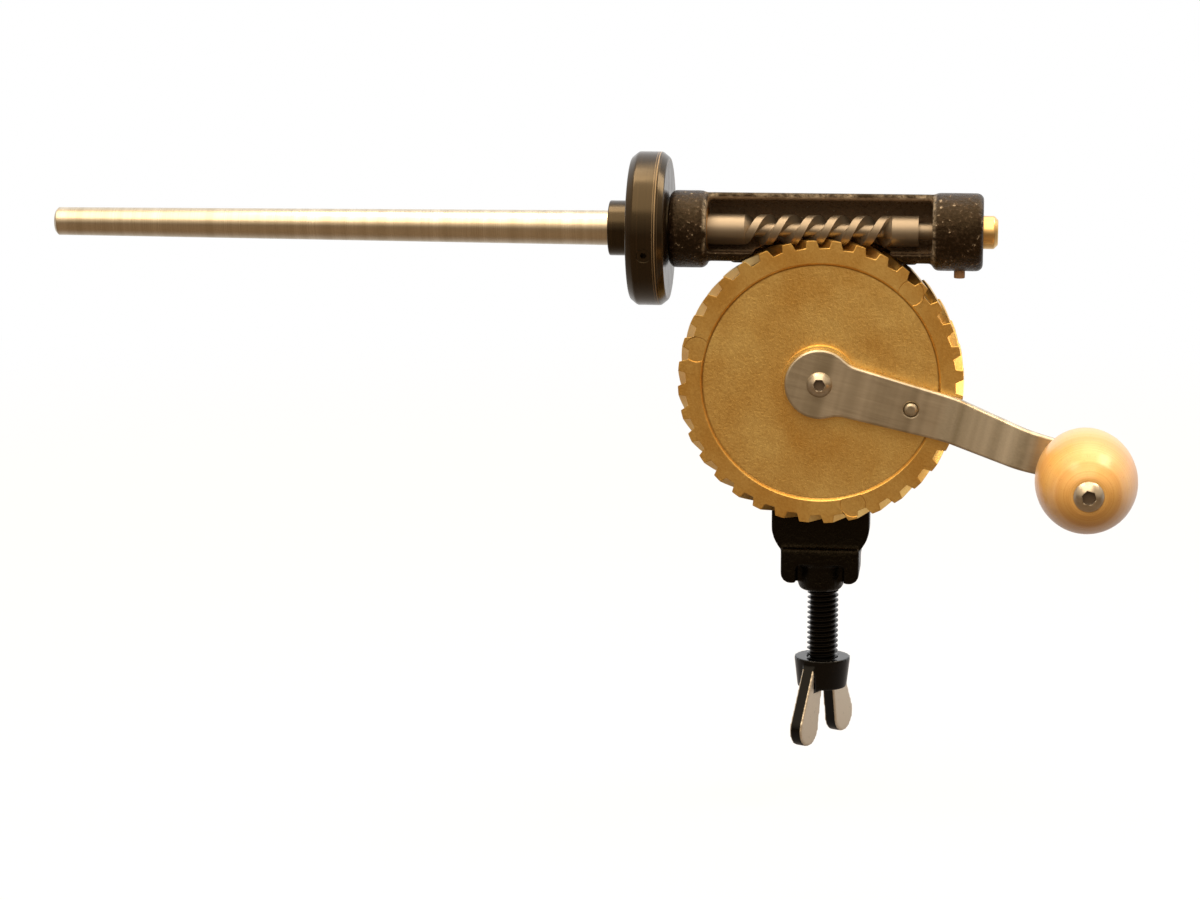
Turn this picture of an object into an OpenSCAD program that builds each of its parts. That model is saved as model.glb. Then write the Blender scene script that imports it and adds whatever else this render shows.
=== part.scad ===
// Hand bobbin winder: a crank turns a worm wheel, which drives a two-start worm on a tapered spindle.
// A cast frame carries both and clamps to the edge of a table.
// Origin: the upper jaw's face on the clamp screw's axis.
// +Z is up, the spindle points to -X and the crank faces -Y.

/* [Worm drive] */
// Teeth on the worm wheel
wheel_teeth = 36; // [32:1:40]
// Axial distance from one worm ridge to the next
worm_pitch = 7.12; // [7.0:0.01:7.3]
// Height of a wheel tooth above its pitch circle
wheel_addendum = 0.9; // [0.8:0.05:1.0]
// Depth of the slots cut between the wheel teeth
slot_depth = 2.4; // [2.2:0.05:2.5]
// Width of a slot at the tooth tips
slot_top = 4.7; // [4.65:0.05:4.8]
// Width of a slot at its floor
slot_floor = 2.9; // [2.8:0.05:3.0]
// Angle of the slots across the rim
slot_tilt = 32; // [31:0.5:33]
// Diameter over the worm ridges
worm_tip_d = 8.9; // [8.7:0.05:9.0]
// Width of a ridge along the worm at its crest
ridge_crest = 2.4; // [2.0:0.05:2.45]
// Width of a ridge along the worm at its root
ridge_root = 3.8; // [3.5:0.05:3.85]
// Gap between the tips of one gear and the floors of the other
tip_gap = 0.35; // [0.3:0.05:0.5]
// Left end of the cut thread
thread_left = 22.6; // [20:0.1:24]
// Right end of the cut thread
thread_right = 20.2; // [18:0.1:22]
// Length over which the grooves run out at each end
thread_runout = 3; // [2:0.1:4]
// Distance left of the wheel axis where ridge and slot meet at rest
mesh_left = 2.6; // [0:0.1:3.5]

/* [Worm wheel] */
// Thickness of the rim
wheel_t = 11; // [10:0.5:12]
// Radius of the recessed front face
face_r = 34.5; // [32:0.1:36]
// Slope of the step round the recessed face, measured along the radius
face_draft = 0.6; // [0.2:0.1:1]
// Depth of the recessed front face below the rim
face_depth = 0.9; // [0.5:0.1:1.5]
// Thickness of the web
web_t = 5; // [4:0.5:7]
// Wall of the rim behind the web
rim_wall = 5.2; // [4:0.1:8]
// Diameter of the hub
wheel_hub_d = 22; // [20.5:0.5:26]
// Height of the hub's front face above the rim
hub_proud = 0.5; // [0.3:0.1:1]
// Diameter of the three ejector marks on the rim
mark_d = 7.4; // [6:0.1:7.6]
// Depth of the ejector marks
mark_depth = 0.25; // [0.1:0.05:0.3]
// Radius on which the ejector marks lie
mark_r = 37.3; // [36.5:0.1:38]

/* [Axle] */
// Axle diameter
axle_d = 8; // [7:0.5:9]
// Outer diameter of the axle bushes
axle_bush_d = 11; // [10.5:0.5:12.5]
// Diameter of the relieved bore between the axle bushes
axle_relief_d = 10; // [9.2:0.1:10.3]
// Length of each axle bush
axle_bush_len = 11; // [8:0.5:14]
// Thickness of the washers on the axle
axle_washer_t = 0.9; // [0.6:0.1:1.2]
// Outer diameter of the washers on the axle
axle_washer_d = 16; // [14:0.5:18]
// Thickness of the axle's retaining ring
ring_t = 1; // [0.8:0.1:1.4]
// Outer diameter of the axle's retaining ring
ring_d = 12; // [11:0.5:14]
// Depth of the retaining ring's groove
ring_groove = 0.6; // [0.4:0.1:0.9]
// Axle left beyond the retaining ring
axle_tail = 1.6; // [1:0.1:3]
// Thread diameter of the hub screw
hub_screw_d = 4; // [3.5:0.5:4.5]
// Head diameter of the hub screw
hub_head_d = 7.6; // [7:0.1:9]
// Head height of the hub screw
hub_head_h = 2.2; // [1.6:0.1:2.6]
// Length of the hub screw in the axle
hub_screw_len = 10; // [7:0.5:14]

/* [Crank] */
// Thickness of the crank strip
arm_t = 3; // [2.5:0.1:3.5]
// Diameter of the crank's round hub end
arm_hub_d = 20.5; // [19:0.1:22]
// Width of the strip beside the hub
arm_w_hub = 15.2; // [13:0.1:16]
// Width of the strip at its first bend
arm_w_bend = 13.4; // [12.5:0.1:14.5]
// Width of the strip at the knob
arm_w_end = 10.5; // [9.5:0.1:12]
// Fillet between the hub end and the strip
arm_fillet = 9; // [5:0.5:12]
// Distance from the axle to the first bend
bend_near = 39; // [37:0.5:40]
// Distance from the axle to the second bend
bend_far = 61; // [57:0.5:62]
// Forward step of the strip between its bends
arm_step = 19; // [16:0.5:22]
// Inside radius of the bends
bend_r = 8; // [5:0.5:9]
// Distance from the axle to the knob's axis
crank_r = 78.5; // [74:0.5:84]
// Angle of the crank below the horizontal at rest
crank_angle = 14.3; // [0:0.1:30]
// Diameter of the drive pin
pin_d = 3.9; // [3:0.1:5]
// Distance from the axle to the drive pin
pin_r = 27.5; // [23:0.5:31]
// Height of the drive pin's end above the strip
pin_proud = 1.1; // [0.5:0.1:1.6]

/* [Knob] */
// Length of the knob
knob_len = 44; // [40:0.5:48]
// Largest diameter of the knob
knob_d = 28.3; // [27:0.1:30]
// Diameter of the knob's base
knob_base_d = 22; // [18:0.5:24]
// Diameter of the flat on the knob's front
knob_front_d = 10; // [9.5:0.5:12]
// Distance from the base to the largest diameter
knob_belly = 21; // [18:0.5:24]
// Angle that the curve from the largest diameter turns before the front rounding
knob_turn = 28; // [25:1:30]
// Radius of the rounding at the knob's front
knob_round = 13.5; // [12.5:0.5:14]
// Thread diameter of the knob's screw
knob_screw_d = 5; // [4.5:0.5:6]
// Head diameter of the knob's screw
knob_head_d = 8.5; // [8:0.1:9.5]
// Head height of the knob's screw
knob_head_h = 2.7; // [2.3:0.1:3.2]
// Thickness of the washer under the knob
knob_washer_t = 0.8; // [0.5:0.1:1.2]
// Outer diameter of the washer under the knob
knob_washer_d = 10; // [9:0.5:10.5]
// Width across flats of the lock nut
nut_flats = 8; // [7:0.5:10]
// Height of the lock nut
nut_h = 2.5; // [2:0.5:3]

/* [Spindle] */
// Length of the bare spindle, from the flange's collar to its tip
spindle_len = 166.65; // [120:0.05:200]
// Diameter at the collar
spindle_base_d = 10.2; // [9.6:0.1:11]
// Diameter at the tip
spindle_tip_d = 8.3; // [6.5:0.1:9]
// Chamfer at the tip
spindle_chamfer = 0.7; // [0.3:0.1:1.2]
// Diameter of the shaft under the flange and beside the thread
shaft_d = 9; // [9:0.05:9.4]
// Diameter of the tail journal
tail_d = 5; // [4:0.1:6]
// Length of the tail journal in the end bearing plug
tail_len = 8; // [6:0.5:10]
// Right end of the full shaft, from the wheel axis
shaft_right = 27.8; // [25:0.1:29]

/* [Flange] */
// Flange diameter
flange_d = 44.9; // [40:0.1:48]
// Flange thickness
flange_t = 11; // [9:0.1:12]
// Length of the bevels on the flange's rim
bevel_run = 2.1; // [1:0.1:3]
// Height of the bevels on the flange's rim
bevel_drop = 1.7; // [1:0.1:3]
// Gap between the flange and the left boss
flange_gap = 0.3; // [0.3:0.05:0.5]
// Diameter of the collar on the spindle side
collar_d = 16.1; // [14:0.1:18]
// Length of the collar
collar_len = 6.55; // [4:0.05:8]
// Diameter of the set screw in the flange
flange_screw_d = 4; // [3:0.5:5]
// Length of the set screw in the flange
flange_screw_len = 17.6; // [12:0.1:17.8]
// Angle of the set screw below the horizontal front
flange_screw_angle = 15; // [0:1:45]

/* [Housing] */
// Diameter of the end bosses
boss_d = 22.6; // [21.5:0.1:24]
// Diameter of the trough between the bosses
trough_d = 20.8; // [20.2:0.1:21.2]
// Inside radius of the trough
trough_r = 7.6; // [7:0.1:7.8]
// Height of the trough's inside above the worm axis
trough_lift = 1.6; // [1:0.1:1.7]
// Left end of the left boss, from the wheel axis
left_boss_out = 44.5; // [43.5:0.1:45]
// Right end of the left boss
left_boss_in = 33.4; // [32:0.1:34]
// Left end of the right boss
right_boss_in = 31.9; // [31:0.1:33]
// Right end of the right boss
right_boss_out = 46.5; // [45:0.1:50]
// Chamfer on the bosses
boss_chamfer = 1.2; // [0.6:0.1:2]
// Depth of the window's lower edge below the worm axis
window_down = 6; // [5:0.1:6.2]
// Depth of the trough's floor edge below the worm axis
trough_down = 8.8; // [8.5:0.1:10]
// Gap each side between the wheel and the housing's opening
wheel_slot_gap = 1; // [0.6:0.1:1.5]
// Outer diameter of the spindle bush
spindle_bush_d = 13; // [12.5:0.5:15]
// Thickness of the thrust washer beside the flange
thrust_t = 0.8; // [0.7:0.1:1.2]
// Outer diameter of the thrust washer
thrust_d = 18; // [15:0.5:20]
// Diameter of the end bearing plug
plug_d = 9.6; // [9:0.1:11]
// Distance from the boss's inner face to the plug
plug_in = 0.5; // [0.3:0.1:1.5]
// Length of the plug outside the boss
plug_out = 4.2; // [2:0.1:6]
// Chamfer on the plug
plug_chamfer = 1.2; // [0.4:0.1:1.5]
// Diameter of the plug's set screw
plug_screw_d = 3.2; // [3:0.1:4.5]
// Length of the set screw outside the boss
plug_screw_out = 2.1; // [1:0.1:4]
// Distance from the set screw to the right end of the boss
plug_screw_in = 6.7; // [4:0.1:8]

/* [Clamp frame] */
// Distance from the wheel's front to the clamp screw's axis
reach = 34.8; // [33:0.1:38]
// Height of the wheel axis above the jaw face
axle_height = 10; // [9.5:0.1:12]
// Gap between the wheel's back and the frame
wheel_gap = 1.5; // [1.3:0.1:2.5]
// Height of the axle boss above the frame's front
axle_boss_proud = 0.4; // [0.2:0.1:0.6]
// Diameter of the axle boss
axle_boss_d = 20; // [18:0.5:20]
// Thickness of the spine
spine_t = 9.3; // [8:0.1:11]
// Width of the spine and the upper jaw
spine_w = 29.2; // [26:0.1:32]
// Width of the lower arm
foot_w = 23.4; // [22.5:0.1:26]
// Width of the upright where it joins the housing
upright_w = 38; // [34:0.5:42]
// Thickness of the upright above the jaw
upright_t = 6.5; // [5:0.1:8]
// Thickness of the rib behind the upright
rib_w = 7; // [5:0.5:9]
// Depth of the upper jaw from the throat
jaw_len = 26; // [22:0.5:32]
// Thickness of the upper jaw
jaw_t = 8; // [6:0.5:10]
// Rounding of the jaw's corners
jaw_round = 5; // [3:0.5:8]
// Distance from the jaw face down to the lower arm
throat_h = 42; // [38:0.5:48]
// Thickness of the lower arm's web
foot_web = 5; // [4:0.5:6.5]
// Depth of the lower arm's side ribs
foot_rib_h = 10.5; // [9:0.5:13]
// Height over which the spine narrows to the lower arm
neck_h = 7; // [5:0.5:10]
// Step of the lower arm in front of the spine
foot_proud = 1.5; // [0.5:0.1:3]
// Rounding of the lower arm's corners
foot_round = 3; // [2:0.5:4]
// Diameter of the clamp screw's boss
screw_boss_d = 13.8; // [12.8:0.1:14]
// Length of the clamp screw's boss
screw_boss_len = 16.6; // [14:0.1:20]
// Height of the boss's rounded lower end
boss_bowl_h = 4.5; // [3:0.5:4.5]
// Radius of the curve of the boss's lower end
boss_bowl_r = 8; // [8:0.5:12]
// Gap between the boss and the side ribs
boss_rib_gap = 0.3; // [0.2:0.1:1]

/* [Clamp screw] */
// Diameter of the clamp screw
screw_d = 9.5; // [9:0.1:10]
// Lead of the clamp screw's thread
screw_lead = 1.5875; // [1.25:0.0125:2]
// Distance from the jaw face to the pad at rest
pad_drop = 20; // [2:0.5:34]
// Diameter of the pad
pad_d = 22; // [18:0.5:24]
// Thickness of the pad
pad_t = 5; // [4:0.5:6]
// Diameter of the screw's nose in the pad
nose_d = 6; // [5:0.1:7]
// Length of the screw's nose in the pad
nose_len = 3; // [2:0.1:3.5]
// Length of the screw between pad and wing head
screw_len = 55; // [53:0.1:62]
// Length of the screw inside the wing head
screw_in_wing = 7.5; // [5:0.1:8.5]
// Diameter of the wing head's top
wing_top_d = 17.2; // [15:0.1:20]
// Diameter of the wing head's lower end
wing_low_d = 15; // [13:0.1:17]
// Height of the wing head's hub
wing_hub_h = 9.4; // [8.8:0.1:12]
// Height of the head with its wings
wing_h = 25.9; // [20:0.1:28]
// Span over the wings
wing_span = 33; // [30:0.5:44]
// Drop of the wings' root below the hub's top
wing_root = 1; // [0.5:0.1:2]
// Thickness of the wings
wing_t = 4; // [3.5:0.1:6]
// Radius of the wings' round ends
wing_r = 5.5; // [4:0.1:6.5]
// Angle of the wings from the front at rest
wing_angle = 26; // [0:1:180]

/* [Fits] */
// Radial clearance of a shaft in its bearing
run_fit = 0.03; // [0.01:0.01:0.08]
// Radial clearance of a screw in a clear hole
clear_fit = 0.1; // [0.05:0.05:0.2]
// Radial clearance of the clamp screw in its boss
thread_fit = 0.08; // [0.03:0.01:0.1]
// End play between faces that turn on each other
end_play = 0.1; // [0.05:0.05:0.15]

/* [Hidden] */
$fn = 64;

// Cuts run past the surface they open by this much
past = 1;
// Solids that are one piece sink into each other by this much
sink = 0.5;
worm_starts = 2;
// Shares of a button head: its flat top and socket depth by height, its socket by diameter
head_flat = 0.12;
head_socket_depth = 0.62;
head_socket_d = 0.47;
ejector_marks = 3;
ejector_first = 74.3;

// Worm drive
pitch_r = worm_pitch * wheel_teeth / (2 * PI);
tip_r = pitch_r + wheel_addendum;
root_r = tip_r - slot_depth;
centre_dist = root_r + worm_tip_d / 2 + tip_gap;
worm_root_r = centre_dist - tip_r - tip_gap;
lead = worm_pitch * worm_starts;
mesh_angle = -asin(mesh_left / pitch_r);
slices_per_turn = 20;
// Fewer than the points of the worm's section, so that its edges aren't split
section_fn = 13;

// Depths of the layers, front to back
front_y = -reach;
wheel_mid_y = front_y + wheel_t / 2;
wheel_back_y = front_y + wheel_t;
hub_front_y = front_y - hub_proud;
arm_front_y = hub_front_y - arm_t;
frame_y = wheel_back_y + wheel_gap;
axle_boss_y = frame_y - axle_boss_proud;
throat_y = frame_y + spine_t;
jaw_end_y = throat_y + jaw_len;
axle_end_y = jaw_end_y + axle_washer_t + 2 * end_play + ring_t + axle_tail;
web_front_y = front_y + face_depth;

// Heights
wheel_z = axle_height;
worm_z = wheel_z + centre_dist;
foot_top_z = -throat_h;
foot_low_z = foot_top_z - foot_rib_h;
screw_boss_z = foot_top_z - screw_boss_len;
pad_z = -pad_drop;
wing_z = pad_z - pad_t - screw_len;

// Spindle line, from right to left
flange_right_x = -(left_boss_out + flange_gap);
flange_left_x = flange_right_x - flange_t;
collar_x = flange_left_x - collar_len;
tip_x = collar_x - spindle_len;
plug_left_x = right_boss_in + plug_in;
tail_x = plug_left_x + tail_len;
plug_right_x = right_boss_out + plug_out;
plug_screw_x = right_boss_out - plug_screw_in;

// Crank line, along the arm
knob_y = arm_front_y - arm_step - knob_washer_t - end_play;
knob_front_y = knob_y - knob_len;
bend_slope = atan2(arm_step, bend_far - bend_near);

// A cylinder along X from x0 to x1 on the worm axis
module worm_line(x0, x1, d) {
    translate([x0, wheel_mid_y, worm_z])
        rotate([0, 90, 0])
            cylinder(h = x1 - x0, d = d);
}

// A cylinder along Y from y0 to y1 on the wheel axis
module axle_line(y0, y1, d) {
    translate([0, y0, wheel_z])
        rotate([-90, 0, 0])
            cylinder(h = y1 - y0, d = d);
}

// A ring on the wheel axis
module axle_ring_shape(y0, y1, outer, inner) {
    difference() {
        axle_line(y0, y1, outer);
        axle_line(y0 - past, y1 + past, inner);
    }
}

// A ring on the worm axis
module worm_ring(x0, x1, outer, inner) {
    difference() {
        worm_line(x0, x1, outer);
        worm_line(x0 - past, x1 + past, inner);
    }
}

// Places children, drawn in the crank's own plane with X along the arm and Y along depth
module on_crank() {
    translate([0, 0, wheel_z])
        rotate([0, crank_angle, 0])
            children();
}

// A cylinder along Y at a distance from the axle along the crank
module crank_line(r, y0, y1, d) {
    on_crank()
        translate([r, y0, 0])
            rotate([-90, 0, 0])
                cylinder(h = y1 - y0, d = d);
}

// Extrudes a front-view outline, drawn as X and Z, from y0 to y1
module front_plate(y0, y1) {
    translate([0, y1, 0])
        rotate([90, 0, 0])
            linear_extrude(y1 - y0)
                children();
}

// A rectangle with two lower corners rounded, standing on its bottom edge
module round_foot(w, h, r) {
    translate([-w / 2, r])
        square([w, h - r]);
    translate([-w / 2 + r, 0])
        square([w - 2 * r, r + sink]);
    for (side = [-1, 1])
        translate([side * (w / 2 - r), r])
            circle(r);
}

// Housing

// A boss on the worm axis with chamfered ends
module housing_boss(x0, x1) {
    translate([x0, wheel_mid_y, worm_z])
        rotate([0, 90, 0])
            rotate_extrude()
                polygon([
                    [0, 0],
                    [boss_d / 2 - boss_chamfer, 0],
                    [boss_d / 2, boss_chamfer],
                    [boss_d / 2, x1 - x0 - boss_chamfer],
                    [boss_d / 2 - boss_chamfer, x1 - x0],
                    [0, x1 - x0]
                ]);
}

// The room that the worm and the top of the wheel need inside the trough
module housing_room() {
    window_front_y = wheel_mid_y - trough_d;
    translate([0, 0, trough_lift])
        worm_line(-left_boss_in, right_boss_in, 2 * trough_r);
    translate([-left_boss_in, window_front_y, worm_z - window_down])
        cube([left_boss_in + right_boss_in, trough_d, trough_d]);
    axle_line(window_front_y, wheel_back_y + wheel_slot_gap, 2 * (tip_r + wheel_slot_gap));
    translate([-left_boss_in, window_front_y, worm_z - trough_d])
        cube([left_boss_in + right_boss_in, 2 * trough_d, trough_d - trough_down]);
}

module housing() {
    trough_len = left_boss_in + right_boss_in + 2 * sink;
    difference() {
        union() {
            worm_line(-left_boss_in - sink, right_boss_in + sink, trough_d);
            translate([-left_boss_in - sink, wheel_mid_y, worm_z - trough_down])
                cube([trough_len, trough_d / 2, trough_down]);
        }
        housing_room();
    }
    housing_boss(-left_boss_out, -left_boss_in);
    housing_boss(right_boss_in, right_boss_out);
}

// Upright between the housing and the jaw, wide at the top
module upright_outline() {
    shoulder_z = worm_z - trough_down;
    mirrored_outline([
        [upright_w / 2, worm_z - window_down],
        [upright_w / 2, shoulder_z - neck_h / 2],
        [spine_w / 2, shoulder_z - 2 * neck_h],
        [spine_w / 2, 0]
    ]);
}

// Points of an arc about a centre, from one angle to another
function arc(cx, cy, r, a0, a1, steps) =
    [for (i = [0 : steps]) let (a = a0 + (a1 - a0) * i / steps) [cx + r * cos(a), cy + r * sin(a)]];

// An outline that is the same on both sides of X = 0, from its right half
module mirrored_outline(half) {
    polygon(concat(half, [for (i = [len(half) - 1 : -1 : 0]) [-half[i].x, half[i].y]]));
}

// Spine from the jaw down to the lower arm, drawn in by a round shoulder
module spine_outline() {
    draw_in = (spine_w - foot_w) / 2;
    shoulder_r = (pow(draw_in, 2) + pow(neck_h, 2)) / (2 * draw_in);
    shoulder_steps = 6;
    mirrored_outline(concat(
        [[spine_w / 2, jaw_t]],
        arc(
            spine_w / 2 - shoulder_r, foot_top_z - sink + neck_h, shoulder_r,
            0, -asin(neck_h / shoulder_r), shoulder_steps
        ),
        [[foot_w / 2, foot_top_z - foot_web]]
    ));
}

// Rib behind the upright, from the housing to the end of the jaw
module back_rib() {
    rib_top_z = worm_z - window_down;
    upright_back_y = frame_y + upright_t;
    translate([-rib_w / 2, 0, 0])
        rotate([90, 0, 90])
            linear_extrude(rib_w)
                polygon([
                    [upright_back_y - sink, jaw_t - sink],
                    [upright_back_y - sink, rib_top_z],
                    [throat_y, rib_top_z - neck_h],
                    [jaw_end_y - jaw_round, wheel_z + axle_boss_d / 2 - sink],
                    [jaw_end_y - jaw_round, jaw_t - sink]
                ]);
}

// Upper jaw, round at its free corners
module jaw() {
    translate([-spine_w / 2, frame_y, 0])
        cube([spine_w, jaw_end_y - jaw_round - frame_y, jaw_t]);
    translate([-spine_w / 2 + jaw_round, frame_y, 0])
        cube([spine_w - 2 * jaw_round, jaw_end_y - frame_y, jaw_t]);
    for (side = [-1, 1])
        translate([side * (spine_w / 2 - jaw_round), jaw_end_y - jaw_round, 0])
            cylinder(h = jaw_t, r = jaw_round);
}

// Boss for the clamp screw, bowl-shaped at its lower end
module screw_boss() {
    boss_r = screw_boss_d / 2;
    boss_top = screw_boss_len - foot_web + sink;
    translate([0, 0, screw_boss_z])
        rotate_extrude() {
            translate([0, boss_bowl_h])
                square([boss_r, boss_top - boss_bowl_h]);
            intersection() {
                translate([boss_r - boss_bowl_r, boss_bowl_h])
                    circle(boss_bowl_r);
                square([boss_r, boss_bowl_h]);
            }
        }
}

// Lower arm: a web with two side ribs and the clamp screw's boss
module lower_arm() {
    rib_in = screw_boss_d / 2 + boss_rib_gap;
    foot_y = frame_y - foot_proud;
    translate([-foot_w / 2, foot_y, foot_top_z - foot_web])
        cube([foot_w, -foot_y, foot_web]);
    translate([0, 0, foot_top_z - foot_web])
        cylinder(h = foot_web, d = foot_w);
    difference() {
        front_plate(foot_y, -screw_boss_d / 2)
            translate([0, foot_low_z])
                round_foot(foot_w, foot_rib_h - foot_web + sink, foot_round);
        translate([-rib_in, foot_y - past, foot_low_z - past])
            cube([2 * rib_in, -foot_y, foot_rib_h - foot_web + past]);
    }
    screw_boss();
}

module frame_casting() {
    color("#1b1a19")
        difference() {
            union() {
                housing();
                front_plate(frame_y, frame_y + upright_t)
                    upright_outline();
                front_plate(frame_y, throat_y)
                    spine_outline();
                back_rib();
                jaw();
                axle_line(axle_boss_y, jaw_end_y, axle_boss_d);
                lower_arm();
            }
            // Spindle line
            worm_line(-left_boss_out - past, -left_boss_in + past, spindle_bush_d);
            worm_line(right_boss_in - past, right_boss_out + past, plug_d);
            translate([plug_screw_x, wheel_mid_y, worm_z - boss_d])
                cylinder(h = boss_d, d = plug_screw_d);
            // Wheel axle
            axle_line(axle_boss_y - past, axle_boss_y + axle_bush_len, axle_bush_d);
            axle_line(jaw_end_y - axle_bush_len, jaw_end_y + past, axle_bush_d);
            axle_line(axle_boss_y, jaw_end_y, axle_relief_d);
            // Clamp screw
            translate([0, 0, screw_boss_z - past])
                cylinder(h = screw_boss_len + 2 * past, d = screw_d + 2 * thread_fit);
        }
}

module spindle_bush() {
    color("#a87b3f")
        worm_ring(-left_boss_out, -left_boss_in, spindle_bush_d, shaft_d + 2 * run_fit);
}

module axle_bush_front() {
    color("#a87b3f")
        axle_ring_shape(axle_boss_y, axle_boss_y + axle_bush_len, axle_bush_d, axle_d + 2 * run_fit);
}

module axle_bush_rear() {
    color("#a87b3f")
        axle_ring_shape(jaw_end_y - axle_bush_len, jaw_end_y, axle_bush_d, axle_d + 2 * run_fit);
}

// Brass plug that closes the right boss and carries the tail of the worm
module end_bearing_plug() {
    plug_len = plug_right_x - plug_left_x;
    color("#c79a3c")
        difference() {
            translate([plug_left_x, wheel_mid_y, worm_z])
                rotate([0, 90, 0])
                    rotate_extrude()
                        polygon([
                            [0, 0],
                            [plug_d / 2, 0],
                            [plug_d / 2, plug_len - plug_chamfer],
                            [plug_d / 2 - plug_chamfer, plug_len],
                            [0, plug_len]
                        ]);
            worm_line(plug_left_x - past, tail_x + end_play, tail_d + 2 * run_fit);
        }
}

// Set screw under the right boss that holds the plug
module plug_set_screw() {
    screw_top = worm_z - plug_d / 2;
    screw_low = worm_z - boss_d / 2 - plug_screw_out;
    color("#5d4532")
        difference() {
            translate([plug_screw_x, wheel_mid_y, screw_low])
                cylinder(h = screw_top - screw_low, d = plug_screw_d);
            worm_line(plug_screw_x - plug_d, plug_screw_x + plug_d, plug_d);
        }
}

// Worm wheel

// One straight slot across the rim, at the top of the wheel
module tooth_slot() {
    across = cos(slot_tilt);
    flare = (slot_top - slot_floor) / (2 * slot_depth);
    rise = slot_depth + past;
    rotate([0, 0, slot_tilt])
        rotate([90, 0, 0])
            linear_extrude(2 * wheel_t, center = true)
                polygon([
                    [-across * slot_floor / 2, root_r],
                    [across * slot_floor / 2, root_r],
                    [across * (slot_floor / 2 + flare * rise), root_r + rise],
                    [-across * (slot_floor / 2 + flare * rise), root_r + rise]
                ]);
}

module worm_wheel() {
    inner_r = root_r - rim_wall;
    web_back_y = web_front_y + web_t;
    color("#c9922f")
        difference() {
            union() {
                difference() {
                    axle_line(front_y, wheel_back_y, 2 * tip_r);
                    translate([0, front_y, wheel_z])
                        rotate([-90, 0, 0])
                            cylinder(h = face_depth, r1 = face_r + face_draft, r2 = face_r);
                    axle_line(front_y - past, front_y, 2 * (face_r + face_draft));
                    axle_line(web_back_y, wheel_back_y + past, 2 * inner_r);
                }
                axle_line(hub_front_y, wheel_back_y, wheel_hub_d);
            }
            for (tooth = [0 : wheel_teeth - 1])
                translate([0, wheel_mid_y, wheel_z])
                    rotate([0, mesh_angle + tooth * 360 / wheel_teeth, 0])
                        tooth_slot();
            for (mark = [0 : ejector_marks - 1])
                translate([0, front_y + mark_depth, wheel_z])
                    rotate([90, ejector_first + mark * 360 / ejector_marks, 0])
                        translate([mark_r, 0, 0])
                            cylinder(h = mark_depth + past, d = mark_d);
            axle_line(hub_front_y - past, wheel_back_y + past, axle_d);
            crank_line(pin_r, web_front_y - past, web_back_y + past, pin_d);
        }
}

module crank_axle() {
    groove_y = jaw_end_y + axle_washer_t + 2 * end_play;
    color("#9a9894")
        difference() {
            axle_line(hub_front_y, axle_end_y, axle_d);
            axle_line(hub_front_y - past, hub_front_y + hub_screw_len, hub_screw_d);
            axle_ring_shape(groove_y, groove_y + ring_t, axle_d + past, axle_d - 2 * ring_groove);
        }
}

module wheel_washer() {
    color("#b9b6ae")
        axle_ring_shape(
            wheel_back_y, wheel_back_y + axle_washer_t, axle_washer_d, axle_d + 2 * run_fit
        );
}

module axle_end_washer() {
    color("#b9b6ae")
        axle_ring_shape(
            jaw_end_y + 2 * end_play, jaw_end_y + 2 * end_play + axle_washer_t,
            axle_washer_d, axle_d + 2 * run_fit
        );
}

// Open retaining ring in the axle's groove
module axle_ring() {
    ring_y = jaw_end_y + 2 * end_play + axle_washer_t;
    mouth = axle_d - 2 * ring_groove;
    color("#3a3936")
        difference() {
            axle_ring_shape(ring_y, ring_y + ring_t, ring_d, mouth);
            translate([-mouth / 2 + ring_groove, ring_y - past, wheel_z])
                cube([mouth - 2 * ring_groove, ring_t + 2 * past, ring_d]);
        }
}

// Button head of a socket screw, with its seat at the origin and its dome towards -Y
module button_head(head_d, head_h) {
    dome_r = (pow(head_d / 2, 2) + pow(head_h, 2)) / (2 * head_h);
    dome_h = head_h * (1 - head_flat);
    difference() {
        intersection() {
            translate([0, dome_r - head_h, 0])
                sphere(dome_r);
            rotate([90, 0, 0])
                cylinder(h = dome_h, d = head_d + past);
        }
        translate([0, -head_h * (1 - head_socket_depth), 0])
            rotate([90, 0, 0])
                cylinder(h = head_h, d = head_d * head_socket_d, $fn = 6);
    }
}

// Screw that holds the crank on the axle
module hub_screw() {
    color("#8c857b") {
        translate([0, arm_front_y, wheel_z])
            button_head(hub_head_d, hub_head_h);
        axle_line(arm_front_y - sink, hub_front_y + hub_screw_len, hub_screw_d);
    }
}

// Pin through the crank into the wheel, which turns the two together
module drive_pin() {
    color("#a59c8f")
        crank_line(pin_r, arm_front_y - pin_proud, web_front_y + web_t, pin_d);
}

// Crank

// Upper half of the strip's outline seen from the front, from the knob's end round to the back of the hub
function arm_half_outline() =
    let (
        neck_w = arm_w_hub / 2,
        fillet_y = neck_w + arm_fillet,
        fillet_x = sqrt(pow(arm_hub_d / 2 + arm_fillet, 2) - pow(fillet_y, 2)),
        tangent = atan2(fillet_y, fillet_x),
        steps = 8
    )
    concat(
        arc(crank_r, 0, arm_w_end / 2, 0, 90, steps),
        [[bend_near, arm_w_bend / 2]],
        arc(fillet_x, fillet_y, arm_fillet, 270, 180 + tangent, steps),
        arc(0, 0, arm_hub_d / 2, tangent, 180, 2 * steps)
    );

module arm_outline() {
    half = arm_half_outline();
    polygon(concat(half, [for (i = [len(half) - 2 : -1 : 1]) [half[i].x, -half[i].y]]));
}

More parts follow.
